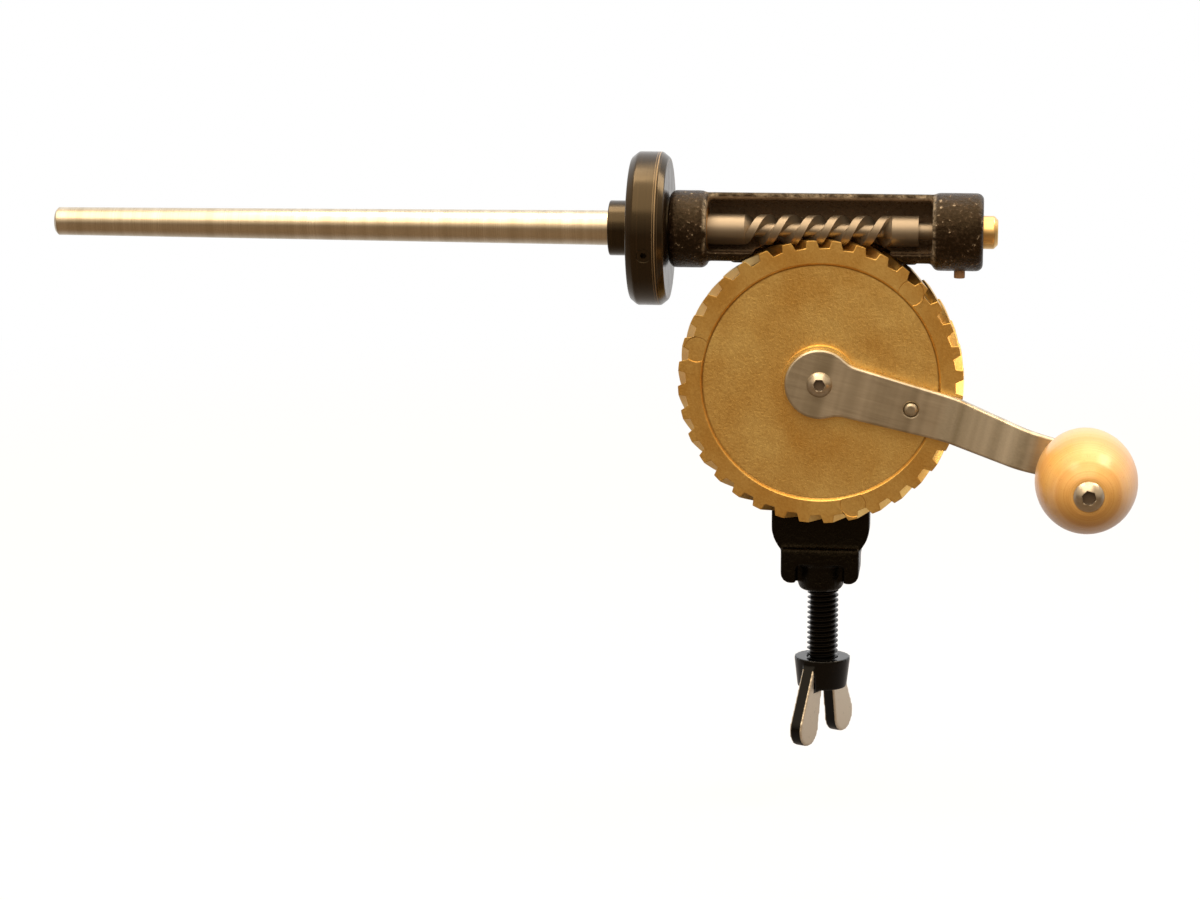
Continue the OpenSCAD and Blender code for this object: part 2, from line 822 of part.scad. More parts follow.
// One face of the bent strip, with X along the arm and Y towards the front
function strip_face(lift, r_in, r_out) =
    let (
        steps = 6,
        start_x = bend_near - (bend_r + arm_t / 2) * tan(bend_slope / 2),
        end_x = bend_far + (bend_r + arm_t / 2) * tan(bend_slope / 2),
        near_y = bend_r + arm_t,
        far_y = arm_step - bend_r
    )
    concat(
        arc(start_x, near_y, r_in, -90, -90 + bend_slope, steps),
        arc(end_x, far_y, r_out, 90 + bend_slope, 90, steps),
        [[crank_r + arm_w_end, arm_step + lift]]
    );

// Section of the strip along its length, with both bends
module arm_section() {
    lower = strip_face(0, bend_r + arm_t, bend_r);
    upper = strip_face(arm_t, bend_r, bend_r + arm_t);
    count = len(upper);
    polygon(concat(
        [[-arm_hub_d, arm_t], [-arm_hub_d, 0]],
        lower,
        [for (i = [count - 1 : -1 : 0]) upper[i]]
    ));
}

module crank_arm() {
    color("#8d867c")
        difference() {
            on_crank()
                intersection() {
                    translate([0, arm_front_y - arm_step - past, 0])
                        rotate([-90, 0, 0])
                            linear_extrude(arm_step + arm_t + 2 * past)
                                arm_outline();
                    translate([0, hub_front_y, -arm_hub_d])
                        mirror([0, 1, 0])
                            linear_extrude(2 * arm_hub_d)
                                arm_section();
                }
            axle_line(arm_front_y - past, hub_front_y + past, hub_screw_d + 2 * clear_fit);
            crank_line(pin_r, arm_front_y - past, hub_front_y + past, pin_d);
            crank_line(crank_r, arm_front_y - arm_step - past, hub_front_y, knob_screw_d);
        }
}

// Knob

// Screw that the knob turns on, fast in the crank
module knob_screw() {
    seat_y = knob_front_y - end_play;
    nut_back_y = hub_front_y - arm_step + nut_h;
    color("#c2bcb2") {
        on_crank()
            translate([crank_r, seat_y, 0])
                button_head(knob_head_d, knob_head_h);
        crank_line(crank_r, seat_y - sink, nut_back_y, knob_screw_d);
    }
}

module knob_lock_nut() {
    nut_y = hub_front_y - arm_step;
    color("#b9b6ae")
        difference() {
            on_crank()
                translate([crank_r, nut_y, 0])
                    rotate([-90, 0, 0])
                        cylinder(h = nut_h, d = nut_flats / cos(30), $fn = 6);
            crank_line(crank_r, nut_y - past, nut_y + nut_h + past, knob_screw_d);
        }
}

module knob_washer() {
    washer_y = arm_front_y - arm_step;
    color("#b9b6ae")
        difference() {
            crank_line(crank_r, washer_y - knob_washer_t, washer_y, knob_washer_d);
            crank_line(crank_r, washer_y - knob_washer_t - past, washer_y + past, knob_screw_d);
        }
}

// Half section of the knob, radius along X and distance from the base along Y.
// One arc rises to the largest diameter, a second falls from it and a third rounds off to the front flat.
module knob_profile() {
    knob_r = knob_d / 2;
    steps = 6;
    base_sag = knob_r - knob_base_d / 2;
    base_r = (pow(knob_belly, 2) + pow(base_sag, 2)) / (2 * base_sag);
    flat_r = knob_front_d / 2;
    front_run = knob_len - knob_belly;
    // Difference of the two front radii, from the flat's edge lying on the third arc
    inset = flat_r - knob_r + knob_round;
    bow = 1 - cos(knob_turn);
    half_b = inset * bow - front_run * sin(knob_turn);
    rest = pow(inset, 2) + pow(front_run, 2) - pow(knob_round, 2);
    excess = (-half_b - sqrt(pow(half_b, 2) - 2 * bow * rest)) / (2 * bow);
    fall_r = knob_round + excess;
    round_x = knob_r - knob_round - excess * bow;
    round_y = knob_belly + excess * sin(knob_turn);
    flat_angle = atan2(knob_len - round_y, flat_r - round_x);
    round_start = knob_turn + (flat_angle - knob_turn) / steps;
    polygon(concat(
        [[0, 0]],
        arc(knob_r - base_r, knob_belly, base_r, -asin(knob_belly / base_r), 0, steps),
        arc(knob_r - fall_r, knob_belly, fall_r, knob_turn / steps, knob_turn, steps - 1),
        arc(round_x, round_y, knob_round, round_start, flat_angle, steps - 1),
        [[0, knob_len]]
    ));
}

module knob() {
    color("#d99b4a")
        difference() {
            on_crank()
                translate([crank_r, knob_y, 0])
                    rotate([90, 0, 0])
                        rotate_extrude()
                            knob_profile();
            crank_line(crank_r, knob_front_y - past, knob_y + past, knob_screw_d + 2 * clear_fit);
        }
}

// Spindle

// Cross-section of the worm: ridges with straight flanks along the axis
function ridge_half_angle(r) =
    let (share = (r - worm_root_r) / (worm_tip_d / 2 - worm_root_r))
    180 * (ridge_root + (ridge_crest - ridge_root) * share) / lead;

function polar(r, a) = [r * cos(a), r * sin(a)];

module worm_section() {
    flank_steps = 3;
    arc_steps = 4;
    worm_tip_r = worm_tip_d / 2;
    radius = [for (i = [0 : flank_steps]) worm_root_r + (worm_tip_r - worm_root_r) * i / flank_steps];
    crest_half = ridge_half_angle(worm_tip_r);
    root_half = ridge_half_angle(worm_root_r);
    turn = 360 / worm_starts;
    polygon([
        for (start = [0 : worm_starts - 1])
            let (mid = start * turn)
            each concat(
                [for (i = [0 : flank_steps - 1]) polar(radius[i], mid - ridge_half_angle(radius[i]))],
                arc_of(worm_tip_r, mid - crest_half, mid + crest_half, arc_steps),
                [for (i = [flank_steps - 1 : -1 : 1]) polar(radius[i], mid + ridge_half_angle(radius[i]))],
                arc_of(worm_root_r, mid + root_half, mid + turn - root_half, arc_steps, 1)
            )
    ]);
}

// Points on an arc about the origin, leaving out the last few
function arc_of(r, a0, a1, steps, leave = 0) =
    [for (i = [0 : steps - leave]) polar(r, a0 + (a1 - a0) * i / steps)];

module worm_thread() {
    x0 = -thread_left - sink;
    run = thread_left + thread_right + 2 * sink;
    translate([x0, wheel_mid_y, worm_z])
        rotate([0, 90, 0])
            linear_extrude(
                run, twist = 360 * run / lead, slices = round(slices_per_turn * run / lead), $fn = section_fn
            )
                rotate(360 * (-mesh_left - x0) / lead)
                    worm_section();
}

module spindle() {
    run = collar_x - tip_x;
    color("#b8b3aa")
        union() {
            translate([tip_x, wheel_mid_y, worm_z])
                rotate([0, 90, 0])
                    rotate_extrude()
                        polygon([
                            [0, 0],
                            [spindle_tip_d / 2 - spindle_chamfer, 0],
                            [spindle_tip_d / 2, spindle_chamfer],
                            [spindle_base_d / 2, run],
                            [shaft_d / 2, run],
                            [shaft_d / 2, -thread_left - tip_x],
                            [worm_root_r - sink, thread_runout - thread_left - tip_x],
                            [0, thread_runout - thread_left - tip_x]
                        ]);
            worm_thread();
            translate([thread_right - thread_runout, wheel_mid_y, worm_z])
                rotate([0, 90, 0])
                    cylinder(h = thread_runout, r1 = worm_root_r - sink, r2 = shaft_d / 2);
            worm_line(thread_right, shaft_right, shaft_d);
            worm_line(shaft_right - sink, tail_x, tail_d);
        }
}

// Places children on the flange's set screw, with Z pointing outwards
module on_flange_screw() {
    translate([(flange_left_x + flange_right_x) / 2, wheel_mid_y, worm_z])
        rotate([90 + flange_screw_angle, 0, 0])
            children();
}

module drive_flange() {
    flange_r = flange_d / 2;
    flange_len = collar_len + flange_t;
    washer_room = thrust_t + 2 * end_play - flange_gap;
    color("#262321")
        difference() {
            translate([collar_x, wheel_mid_y, worm_z])
                rotate([0, 90, 0])
                    rotate_extrude()
                        polygon([
                            [0, 0],
                            [collar_d / 2, 0],
                            [collar_d / 2, collar_len],
                            [flange_r - bevel_drop, collar_len],
                            [flange_r, collar_len + bevel_run],
                            [flange_r, flange_len - bevel_run],
                            [flange_r - bevel_drop, flange_len],
                            [0, flange_len]
                        ]);
            worm_line(collar_x - past, flange_right_x + past, shaft_d);
            worm_line(flange_right_x - washer_room, flange_right_x + past, thrust_d + 2 * clear_fit);
            on_flange_screw()
                cylinder(h = flange_d, d = flange_screw_d);
        }
}

module flange_set_screw() {
    screw_top = shaft_d / 2 + flange_screw_len;
    color("#4a4642")
        on_flange_screw()
            difference() {
                translate([0, 0, shaft_d / 2])
                    cylinder(h = flange_screw_len, d = flange_screw_d);
                translate([0, 0, screw_top - flange_screw_d / 2])
                    cylinder(h = flange_screw_d, d = flange_screw_d / 2, $fn = 6);
            }
}

module thrust_washer() {
    color("#b9b6ae")
        worm_ring(
            -left_boss_out - end_play - thrust_t, -left_boss_out - end_play,
            thrust_d, shaft_d + 2 * run_fit
        );
}

// Table clamp

module clamp_pad() {
    color("#2a2826")
        difference() {
            translate([0, 0, pad_z - pad_t])
                rotate_extrude()
                    polygon([
                        [0, 0],
                        [pad_d / 2 - boss_chamfer, 0],
                        [pad_d / 2, boss_chamfer],
                        [pad_d / 2, pad_t],
                        [0, pad_t]
                    ]);
            translate([0, 0, pad_z - pad_t - past])
                cylinder(h = nose_len + end_play + past, d = nose_d + 2 * run_fit);
        }
}

module clamp_screw() {
    color("#2b2927") {
        translate([0, 0, wing_z - screw_in_wing])
            cylinder(h = screw_in_wing + screw_len - end_play, d = screw_d);
        translate([0, 0, pad_z - pad_t - end_play - sink])
            cylinder(h = nose_len + end_play + sink, d = nose_d);
    }
}

// Outline of both wings, with the hub's top at the origin and Y upwards
module wing_outline() {
    end_x = wing_span / 2 - wing_r;
    end_y = -wing_h + wing_r;
    lean = atan2(wing_span / 2 - wing_top_d / 2, wing_h - wing_root - wing_r);
    for (side = [0, 1])
        mirror([side, 0]) {
            translate([end_x, end_y])
                circle(wing_r);
            polygon([
                [0, -wing_root],
                [wing_top_d / 2 - sink, -wing_root],
                [end_x + wing_r * cos(lean), end_y + wing_r * sin(lean)],
                [end_x, end_y],
                [end_x - wing_r, end_y],
                [wing_low_d / 2 - wing_t, -wing_hub_h],
                [0, -wing_hub_h]
            ]);
        }
}

module wing_head() {
    color("#232120")
        difference() {
            union() {
                translate([0, 0, wing_z - wing_hub_h])
                    cylinder(h = wing_hub_h, d1 = wing_low_d, d2 = wing_top_d);
                translate([0, 0, wing_z])
                    rotate([0, 0, 90 - wing_angle])
                        rotate([90, 0, 0])
                            linear_extrude(wing_t, center = true)
                                wing_outline();
            }
            translate([0, 0, wing_z - screw_in_wing])
                cylinder(h = screw_in_wing + past, d = screw_d);
        }
}

frame_casting();
spindle_bush();
axle_bush_front();
axle_bush_rear();
end_bearing_plug();
plug_set_screw();
worm_wheel();
crank_axle();
wheel_washer();
axle_end_washer();
axle_ring();
hub_screw();
drive_pin();
crank_arm();
knob_screw();
knob_lock_nut();
knob_washer();
knob();
spindle();
drive_flange();
flange_set_screw();
thrust_washer();
clamp_pad();
clamp_screw();
wing_head();
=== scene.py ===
"""Hand bobbin winder: finishes, cast and threaded shapes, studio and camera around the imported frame.

Sizes are in millimetres and angles in degrees. In a finish, a pair of numbers is a range, gloss is the
specular level, and relief and relief_depth are the strength and the depth of its bumps.
"""

import logging
import math
from collections.abc import Iterable, Sequence
from dataclasses import dataclass
from enum import Enum

import bpy
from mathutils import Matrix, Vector


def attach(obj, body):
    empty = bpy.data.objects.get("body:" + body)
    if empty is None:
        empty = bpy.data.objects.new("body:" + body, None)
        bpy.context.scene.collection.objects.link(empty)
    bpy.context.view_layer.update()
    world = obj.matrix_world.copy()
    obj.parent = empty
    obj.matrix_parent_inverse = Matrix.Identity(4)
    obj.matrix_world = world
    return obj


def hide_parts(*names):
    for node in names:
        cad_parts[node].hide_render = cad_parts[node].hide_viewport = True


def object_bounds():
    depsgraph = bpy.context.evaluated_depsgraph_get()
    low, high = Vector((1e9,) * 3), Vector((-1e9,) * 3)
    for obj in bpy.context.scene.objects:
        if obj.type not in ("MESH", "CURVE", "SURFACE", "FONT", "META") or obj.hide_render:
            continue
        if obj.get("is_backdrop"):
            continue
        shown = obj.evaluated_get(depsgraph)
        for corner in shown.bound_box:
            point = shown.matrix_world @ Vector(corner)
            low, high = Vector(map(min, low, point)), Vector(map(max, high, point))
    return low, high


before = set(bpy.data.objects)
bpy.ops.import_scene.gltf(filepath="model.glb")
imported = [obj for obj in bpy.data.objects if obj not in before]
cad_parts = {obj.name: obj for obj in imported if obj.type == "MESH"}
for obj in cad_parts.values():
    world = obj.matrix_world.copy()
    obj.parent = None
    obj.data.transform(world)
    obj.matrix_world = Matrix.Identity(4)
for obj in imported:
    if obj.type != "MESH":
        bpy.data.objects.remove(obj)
cad_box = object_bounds()

log = logging.getLogger("winder")

Span = tuple[float, float]
Place = tuple[float, float, float]
Source = bpy.types.Node | bpy.types.NodeSocket

MM = 0.001
WHEEL_AXIS = (0.0, 10.0)
WORM_AXIS = (-29.3, 54.0946)
KNOB_AXIS = (76.0677, -9.3895)
CRANK_ANGLE = 14.3

# Ranges that patterns are mapped to or from.
WHOLE = (0.0, 1.0)
FALLING = (1.0, 0.0)
WHITE = "#ffffff"

# Mesh work: points to merge, faces that count as flat, edges that count as sharp, and easing.
MERGE = 0.002
FLAT_ANGLE = 0.2
EDGE_ANGLE = 34.0
ROD_SIDES = 40
EASE = 0.5


class Slot(Enum):
    """The record's material slots, named for new pieces and passed along with them."""

    CASTING = "black_casting"
    BLACK_STEEL = "black_steel"
    BRIGHT_STEEL = "bright_steel"
    SATIN_STEEL = "satin_steel"
    RUSTY_STEEL = "rusty_steel"
    BRASS = "wheel_brass"
    BEECH = "beech"


class Body(Enum):
    """The bodies that pieces ride on."""

    FRAME = "frame"
    CRANK = "crank"
    KNOB = "knob"
    SPINDLE = "spindle"
    PAD = "clamp_pad"
    SCREW = "clamp_screw"


class Axis(Enum):
    """The direction of a turning axis, by its place in a vector."""

    X = 0
    Y = 1


def linear(code: str) -> tuple[float, float, float, float]:
    """Turn an sRGB hex colour into a linear one.

    Args:
        code: The colour as #rrggbb.

    Returns:
        Linear red, green, blue and an alpha of 1.
    """
    parts = [int(code[i : i + 2], 16) / 255 for i in (1, 3, 5)]
    r, g, b = (p / 12.92 if p <= 0.04045 else ((p + 0.055) / 1.055) ** 2.4 for p in parts)
    return r, g, b, 1.0


def per_mm(size: float) -> float:
    """Give the texture scale whose cells measure the given size in millimetres."""
    return 1 / (size * MM)


def socket_of(source: Source) -> bpy.types.NodeSocket:
    """Give an output socket as it is, and for a node the first output that it has in use.

    Args:
        source: The socket or the node.

    Returns:
        The output socket.
    """
    if isinstance(source, bpy.types.Node):
        return next(output for output in source.outputs if output.enabled)
    return source


def put(
    tree: bpy.types.NodeTree, kind: str, feeds: dict | Sequence = (), **settings: object
) -> bpy.types.Node:
    """Add a node, set it up and link what feeds it.

    Args:
        tree: The node tree.
        kind: The node's type, without the ShaderNode in front.
        feeds: Values, hex colours, nodes or output sockets for its inputs, in order, or by name or number.
        **settings: The node's own settings.

    Returns:
        The new node.
    """
    node = tree.nodes.new(f"ShaderNode{kind}")
    for name, value in settings.items():
        setattr(node, name, value)
    for place, value in feeds.items() if isinstance(feeds, dict) else enumerate(feeds):
        if isinstance(value, Source):
            tree.links.new(socket_of(value), node.inputs[place])
        else:
            node.inputs[place].default_value = linear(value) if isinstance(value, str) else value
    return node


class Recipe:
    """A material in the making: its tree, its shader and its object coordinates."""

    def __init__(self, name: str, **sockets: object) -> None:
        """Start a material.

        Args:
            name: The material's name.
            **sockets: Constant values for the shader's sockets, with _ for spaces.
        """
        self.material = bpy.data.materials.new(name)
        self.material.use_nodes = True
        self.tree = self.material.node_tree
        self.shader = self.tree.nodes["Principled BSDF"]
        for socket, value in sockets.items():
            self.shader.inputs[socket.replace("_", " ")].default_value = value
        self.place = self.put("TexCoord").outputs["Object"]

    def put(self, kind: str, feeds: dict | Sequence = (), **settings: object) -> bpy.types.Node:
        """Add a node to this material."""
        return put(self.tree, kind, feeds, **settings)

    def off_axis(self, axis: Axis, centre: Span) -> bpy.types.Node:
        """Measure how far each point is from a turning axis.

        Args:
            axis: The axis's direction.
            centre: Where the axis runs in the other two directions, in millimetres.

        Returns:
            The node that gives the distance in metres.
        """
        shift = [-part * MM for part in centre]
        keep = [1.0, 1.0]
        shift.insert(axis.value, 0.0)
        keep.insert(axis.value, 0.0)
        flat = self.put("Mapping", {"Vector": self.place, "Location": shift, "Scale": keep})
        return self.put("VectorMath", (flat,), operation="LENGTH")

    def feed(self, **sources: Source) -> None:
        """Link nodes to the shader's sockets of those names, with _ for spaces."""
        for socket, source in sources.items():
            self.tree.links.new(socket_of(source), self.shader.inputs[socket.replace("_", " ")])


@dataclass(frozen=True)
class PaintedCasting:
    """Black enamel over sand-cast iron: grains show through, with dull dusty specks on the upper part that
    are partly painted sheen, and small painted glints.

    The lower part fades to a deeper black, which is painted shade. The trough round the worm has a greasy
    brown film, lightened as painted fill light, and patchy painted highlights along its end edges and lip.
    """

    name: str = "black_enamel_on_sand_cast_iron"
    paint: str = "#1f160e"
    # Specks on the upper part, partly dusty and partly painted sheen.
    dust_and_sheen: str = "#43352a"
    glint: str = "#b5aa98"
    gleam: str = "#dcc8a4"
    # A greasy film, lightened as painted fill light.
    grease_and_fill_light: str = "#8a7763"
    # Deeper black for the lower part, which is painted shade.
    shaded_black: str = "#010101"
    gloss: float = 0.25
    grain: float = 1.2
    grit: float = 0.36
    grit_share: float = 0.5
    # Size of the patches that break up the painted edge highlights.
    highlight_noise: float = 5.0
    painted_shade_below: float = -22.0
    trough_lift: float = 1.6
    trough_r: Span = (8.0, 8.4)
    film: Span = (0.55, 1.0)
    edge_mid: float = -0.75
    edge_half: float = 33.0
    edge_width: float = 0.9
    lip_up: float = 10.0
    uneven: Span = (0.55, 0.95)
    specks: Span = (0.76, 1.04)
    peaks: Span = (0.94, 1.04)
    lit_patches: Span = (0.38, 0.6)
    grains: Span = (0.3, 0.7)
    roughness: Span = (0.2, 0.42)
    relief: float = 0.8
    relief_depth: float = 0.35

    def painted_light_zone(self, m: Recipe, place: bpy.types.Node, skin: bpy.types.Node) -> bpy.types.Node:
        """Find where painted highlights lie along the trough's end edges and upper lip.

        Args:
            m: The material in the making.
            place: The node that splits the object coordinates.
            skin: The casting's rough skin.

        Returns:
            The node that gives the strength of the painted highlight.
        """
        from_mid = m.put("Math", (place.outputs["X"], self.edge_mid * MM), operation="SUBTRACT")
        out = m.put("Math", (from_mid,), operation="ABSOLUTE")
        off_edge = m.put("Math", (out, self.edge_half * MM), operation="SUBTRACT")
        lip_z = (WORM_AXIS[1] + self.lip_up) * MM
        off_lip = m.put("Math", (place.outputs["Z"], lip_z), operation="SUBTRACT")
        lines = []
        for off in (off_edge, off_lip):
            near = m.put("Math", (off,), operation="ABSOLUTE")
            lines.append(m.put("MapRange", (near, 0.0, self.edge_width * MM, *FALLING)))
        edge, lip = lines
        between = m.put("Math", (off_edge, 0.0), operation="LESS_THAN")
        lip_highlight = m.put("Math", (lip, between), operation="MULTIPLY")
        edges = m.put("Math", (edge, lip_highlight), operation="MAXIMUM")
        # The edge and lip lines are painted highlights, broken into patches.
        highlight_noise = m.put("TexNoise", {"Vector": m.place, "Scale": per_mm(self.highlight_noise)})
        patchy = m.put("MapRange", (highlight_noise, *self.lit_patches))
        lit_edges = m.put("Math", (edges, patchy), operation="MULTIPLY")
        uneven = m.put("MapRange", (skin, *self.uneven))
        return m.put("Math", (lit_edges, uneven), operation="MULTIPLY")

    def make(self) -> bpy.types.Material:
        """Make the material.

        Returns:
            The material.
        """
        m = Recipe(self.name, Specular_IOR_Level=self.gloss, Specular_Tint=linear(self.gleam))
        grain = m.put("TexNoise", {"Vector": m.place, "Scale": per_mm(self.grain), "Detail": 3.0})
        grit = m.put("TexNoise", {"Vector": m.place, "Scale": per_mm(self.grit)})
        skin = m.put("Math", (grit, self.grit_share, grain), operation="MULTIPLY_ADD")
        place = m.put("SeparateXYZ", (m.place,))
        # Painted shade: towards the bottom the paint fades to a deeper black, and the specks and glints fade
        # out with it.
        upper = m.put("MapRange", (place.outputs["Z"], self.painted_shade_below * MM, 0.0))
        paint = m.put("Mix", {0: upper, 6: self.shaded_black, 7: self.paint}, data_type="RGBA")
        # Painted fill light: the greasy film in the trough is lighter than it would be, to stand in for light
        # reaching inside the trough.
        radius = m.off_axis(Axis.X, (WORM_AXIS[0], WORM_AXIS[1] + self.trough_lift))
        inner, outer = self.trough_r
        trough = m.put("MapRange", (radius, inner * MM, outer * MM, *FALLING))
        thick = m.put("MapRange", (skin, *self.uneven, *self.film))
        film = m.put("Math", (trough, thick), operation="MULTIPLY")
        coat = m.put("Mix", {0: film, 6: paint, 7: self.grease_and_fill_light}, data_type="RGBA")
        # Specks on the upper part: partly dusty, partly painted sheen.
        specks = m.put("MapRange", (skin, *self.specks))
        dust_and_sheen_spots = m.put("Math", (specks, upper), operation="MULTIPLY")
        colour = m.put("Mix", {0: dust_and_sheen_spots, 6: coat, 7: self.dust_and_sheen}, data_type="RGBA")
        # Painted highlights: the glint colour is painted on the skin's peaks and on the trough's edges and
        # lip, on the upper part only.
        peaks = m.put("MapRange", (skin, *self.peaks))
        high = m.put("Math", (peaks, self.painted_light_zone(m, place, skin)), operation="MAXIMUM")
        painted_light_mask = m.put("Math", (high, upper), operation="MULTIPLY")
        mottle = m.put("Mix", {0: painted_light_mask, 6: colour, 7: self.glint}, data_type="RGBA")
        dull = m.put("MapRange", (grain, *self.grains, *self.roughness))
        bump = m.put("Bump", {"Height": skin, "Strength": self.relief, "Distance": self.relief_depth * MM})
        m.feed(Base_Color=mottle, Roughness=dull, Normal=bump)
        return m.material


@dataclass(frozen=True)
class GlossBlack:
    """Thick gloss black enamel: deep black with hard white reflections and a slight orange peel."""

    name: str = "gloss_black_enamel"
    paint: str = "#010101"
    mottle: str = "#050403"
    gloss: float = 0.3
    peel: float = 2.2
    roughness: Span = (0.06, 0.22)
    relief: float = 0.25
    relief_depth: float = 0.15

    def make(self) -> bpy.types.Material:
        """Make the material.

        Returns:
            The material.
        """
        m = Recipe(self.name, Specular_IOR_Level=self.gloss)
        peel = m.put("TexNoise", {"Vector": m.place, "Scale": per_mm(self.peel)})
        colour = m.put("Mix", {0: peel, 6: self.paint, 7: self.mottle}, data_type="RGBA")
        dull = m.put("MapRange", (peel, *WHOLE, *self.roughness))
        bump = m.put("Bump", {"Height": peel, "Strength": self.relief, "Distance": self.relief_depth * MM})
        m.feed(Base_Color=colour, Roughness=dull, Normal=bump)
        return m.material


@dataclass(frozen=True)
class WingPaintedReflection(GlossBlack):
    """Gloss black enamel, with bright steel patches on the wings' broad faces as a painted reflection."""

    name: str = "gloss_black_enamel_painted_reflection"
    roughness: Span = (0.12, 0.4)
    # Bright steel colour painted where the wings' broad faces show a reflection.
    steel: str = "#e8dfcf"
    angle: float = 26.0
    face: Span = (1.45, 1.7)
    hub_r: float = 8.9
    hub_low: float = -89.9
    patch: float = 1.4
    lit_patches: Span = (0.12, 0.36)

    def make(self) -> bpy.types.Material:
        """Make the material.

        Returns:
            The material.
        """
        m = Recipe(self.name, Specular_IOR_Level=self.gloss)
        peel = m.put("TexNoise", {"Vector": m.place, "Scale": per_mm(self.peel)})
        turned = m.put("Mapping", {"Vector": m.place, "Rotation": (0, 0, math.radians(self.angle))})
        split = m.put("SeparateXYZ", (turned,))
        across = m.put("Math", (split.outputs["X"],), operation="ABSOLUTE")
        inner, outer = self.face
        broad = m.put("MapRange", (across, inner * MM, outer * MM))
        out = m.put("Math", (split.outputs["Y"],), operation="ABSOLUTE")
        past_hub = m.put("Math", (out, self.hub_r * MM), operation="GREATER_THAN")
        below = m.put("Math", (split.outputs["Z"], self.hub_low * MM), operation="LESS_THAN")
        wing = m.put("Math", (past_hub, below), operation="MAXIMUM")
        # Painted reflection: bright metal patches on the broad faces stand in for a reflection in the gloss
        # paint.
        lit_patches = m.put("TexNoise", {"Vector": m.place, "Scale": per_mm(self.patch), "Detail": 4.0})
        mottle = m.put("MapRange", (lit_patches, *self.lit_patches))
        painted_light_zone = m.put("Math", (broad, wing), operation="MULTIPLY")
        painted_light_mask = m.put("Math", (painted_light_zone, mottle), operation="MULTIPLY")
        colour = m.put("Mix", {0: painted_light_mask, 6: self.paint, 7: self.steel}, data_type="RGBA")
        dull = m.put("MapRange", (painted_light_mask, *WHOLE, *self.roughness))
        bump = m.put("Bump", {"Height": peel, "Strength": self.relief, "Distance": self.relief_depth * MM})
        m.feed(Base_Color=colour, Metallic=painted_light_mask, Roughness=dull, Normal=bump)
        return m.material


@dataclass(frozen=True)
class TurnedSteel:
    """Lathe-turned bright steel: fine uneven rings round the bar, duller and darker where the worm is milled.

    The rings are drawn coarser than the lathe's feed, so that they show.
    """

    name: str = "turned_bright_steel"
    bright: str = "#e3d9c6"
    streak: str = "#cdc1ab"
    milled: str = "#9a8f80"
    ring: float = 0.3
    ring_contrast: float = 0.7
    band: float = 4.0
    streaks: Span = (0.15, 0.4)
    milled_from: Span = (-34.0, -33.5)
    milled_dull: float = 0.2
    roughness: Span = (0.2, 0.42)
    relief: float = 0.14
    relief_depth: float = 0.04

    def make(self) -> bpy.types.Material:
        """Make the material.

        Returns:
            The material.
        """
        m = Recipe(self.name, Metallic=1.0)
        along = m.put("SeparateXYZ", (m.place,)).outputs["X"]
        rings = m.put(
            "TexNoise",
            {"W": along, "Scale": per_mm(self.ring), "Detail": 4.0, "Roughness": self.ring_contrast},
            noise_dimensions="1D",
        )
        bands = m.put("TexNoise", {"W": along, "Scale": per_mm(self.band)}, noise_dimensions="1D")
        both = m.put("Math", (rings, bands), operation="MULTIPLY")
        dark = m.put("MapRange", (both, *self.streaks, *FALLING))
        bar = m.put("Mix", {0: dark, 6: self.bright, 7: self.streak}, data_type="RGBA")
        start, full = self.milled_from
        cut = m.put("MapRange", (along, start * MM, full * MM))
        colour = m.put("Mix", {0: cut, 6: bar, 7: self.milled}, data_type="RGBA")
        satin = m.put("MapRange", (rings, *WHOLE, *self.roughness))
        dull = m.put("Math", (cut, self.milled_dull, satin), operation="MULTIPLY_ADD")
        bump = m.put("Bump", {"Height": rings, "Strength": self.relief, "Distance": self.relief_depth * MM})
        m.feed(Base_Color=colour, Roughness=dull, Normal=bump)
        return m.material


@dataclass(frozen=True)
class TurnedBlack:
    """Turned steel, blackened: satin black with fine rings, and lathe lines on the flange's bevel painted
    bright as a highlight.

    The rings are drawn coarser than the lathe's feed, so that they show.
    """

    name: str = "blackened_turned_steel"
    black: str = "#171009"
    line: str = "#291d12"
    bright: str = "#a08b6f"
    gleam: str = "#dcc8a4"
    gloss: float = 0.7
    ring: float = 0.6
    lines: Span = (0.45, 0.8)
    bevel_from: float = -47.9
    bevel_r: float = 19.6
    # Range of the ring lines that are painted bright on the bevel as a highlight.
    bevel_highlight_lines: Span = (0.48, 0.62)
    mark: float = 5.0
    roughness: Span = (0.12, 0.3)
    relief: float = 0.2
    relief_depth: float = 0.05

    def make(self) -> bpy.types.Material:
        """Make the material.

        Returns:
            The material.
        """
        m = Recipe(self.name, Specular_IOR_Level=self.gloss, Specular_Tint=linear(self.gleam))
        radius = m.off_axis(Axis.X, WORM_AXIS)
        along = m.put("SeparateXYZ", (m.place,)).outputs["X"]
        way = m.put("Math", (radius, along), operation="ADD")
        rings = m.put(
            "TexNoise", {"W": way, "Scale": per_mm(self.ring), "Detail": 3.0}, noise_dimensions="1D"
        )
        lines = m.put("MapRange", (rings, *self.lines))
        colour = m.put("Mix", {0: lines, 6: self.black, 7: self.line}, data_type="RGBA")
        # Painted highlight: on the flange's bevel the ring lines are painted bright.
        inward = m.put("Math", (along, self.bevel_from * MM), operation="GREATER_THAN")
        outer = m.put("Math", (radius, self.bevel_r * MM), operation="GREATER_THAN")
        bevel = m.put("Math", (inward, outer), operation="MULTIPLY")
        bevel_highlights = m.put("MapRange", (rings, *self.bevel_highlight_lines))
        cut = m.put("Math", (bevel, bevel_highlights), operation="MULTIPLY")
        turned = m.put("Mix", {0: cut, 6: colour, 7: self.bright}, data_type="RGBA")
        marks = m.put("TexNoise", {"Vector": m.place, "Scale": per_mm(self.mark), "Detail": 4.0})
        dull = m.put("MapRange", (marks, *WHOLE, *self.roughness))
        bump = m.put("Bump", {"Height": rings, "Strength": self.relief, "Distance": self.relief_depth * MM})
        m.feed(Base_Color=turned, Roughness=dull, Normal=bump)
        return m.material


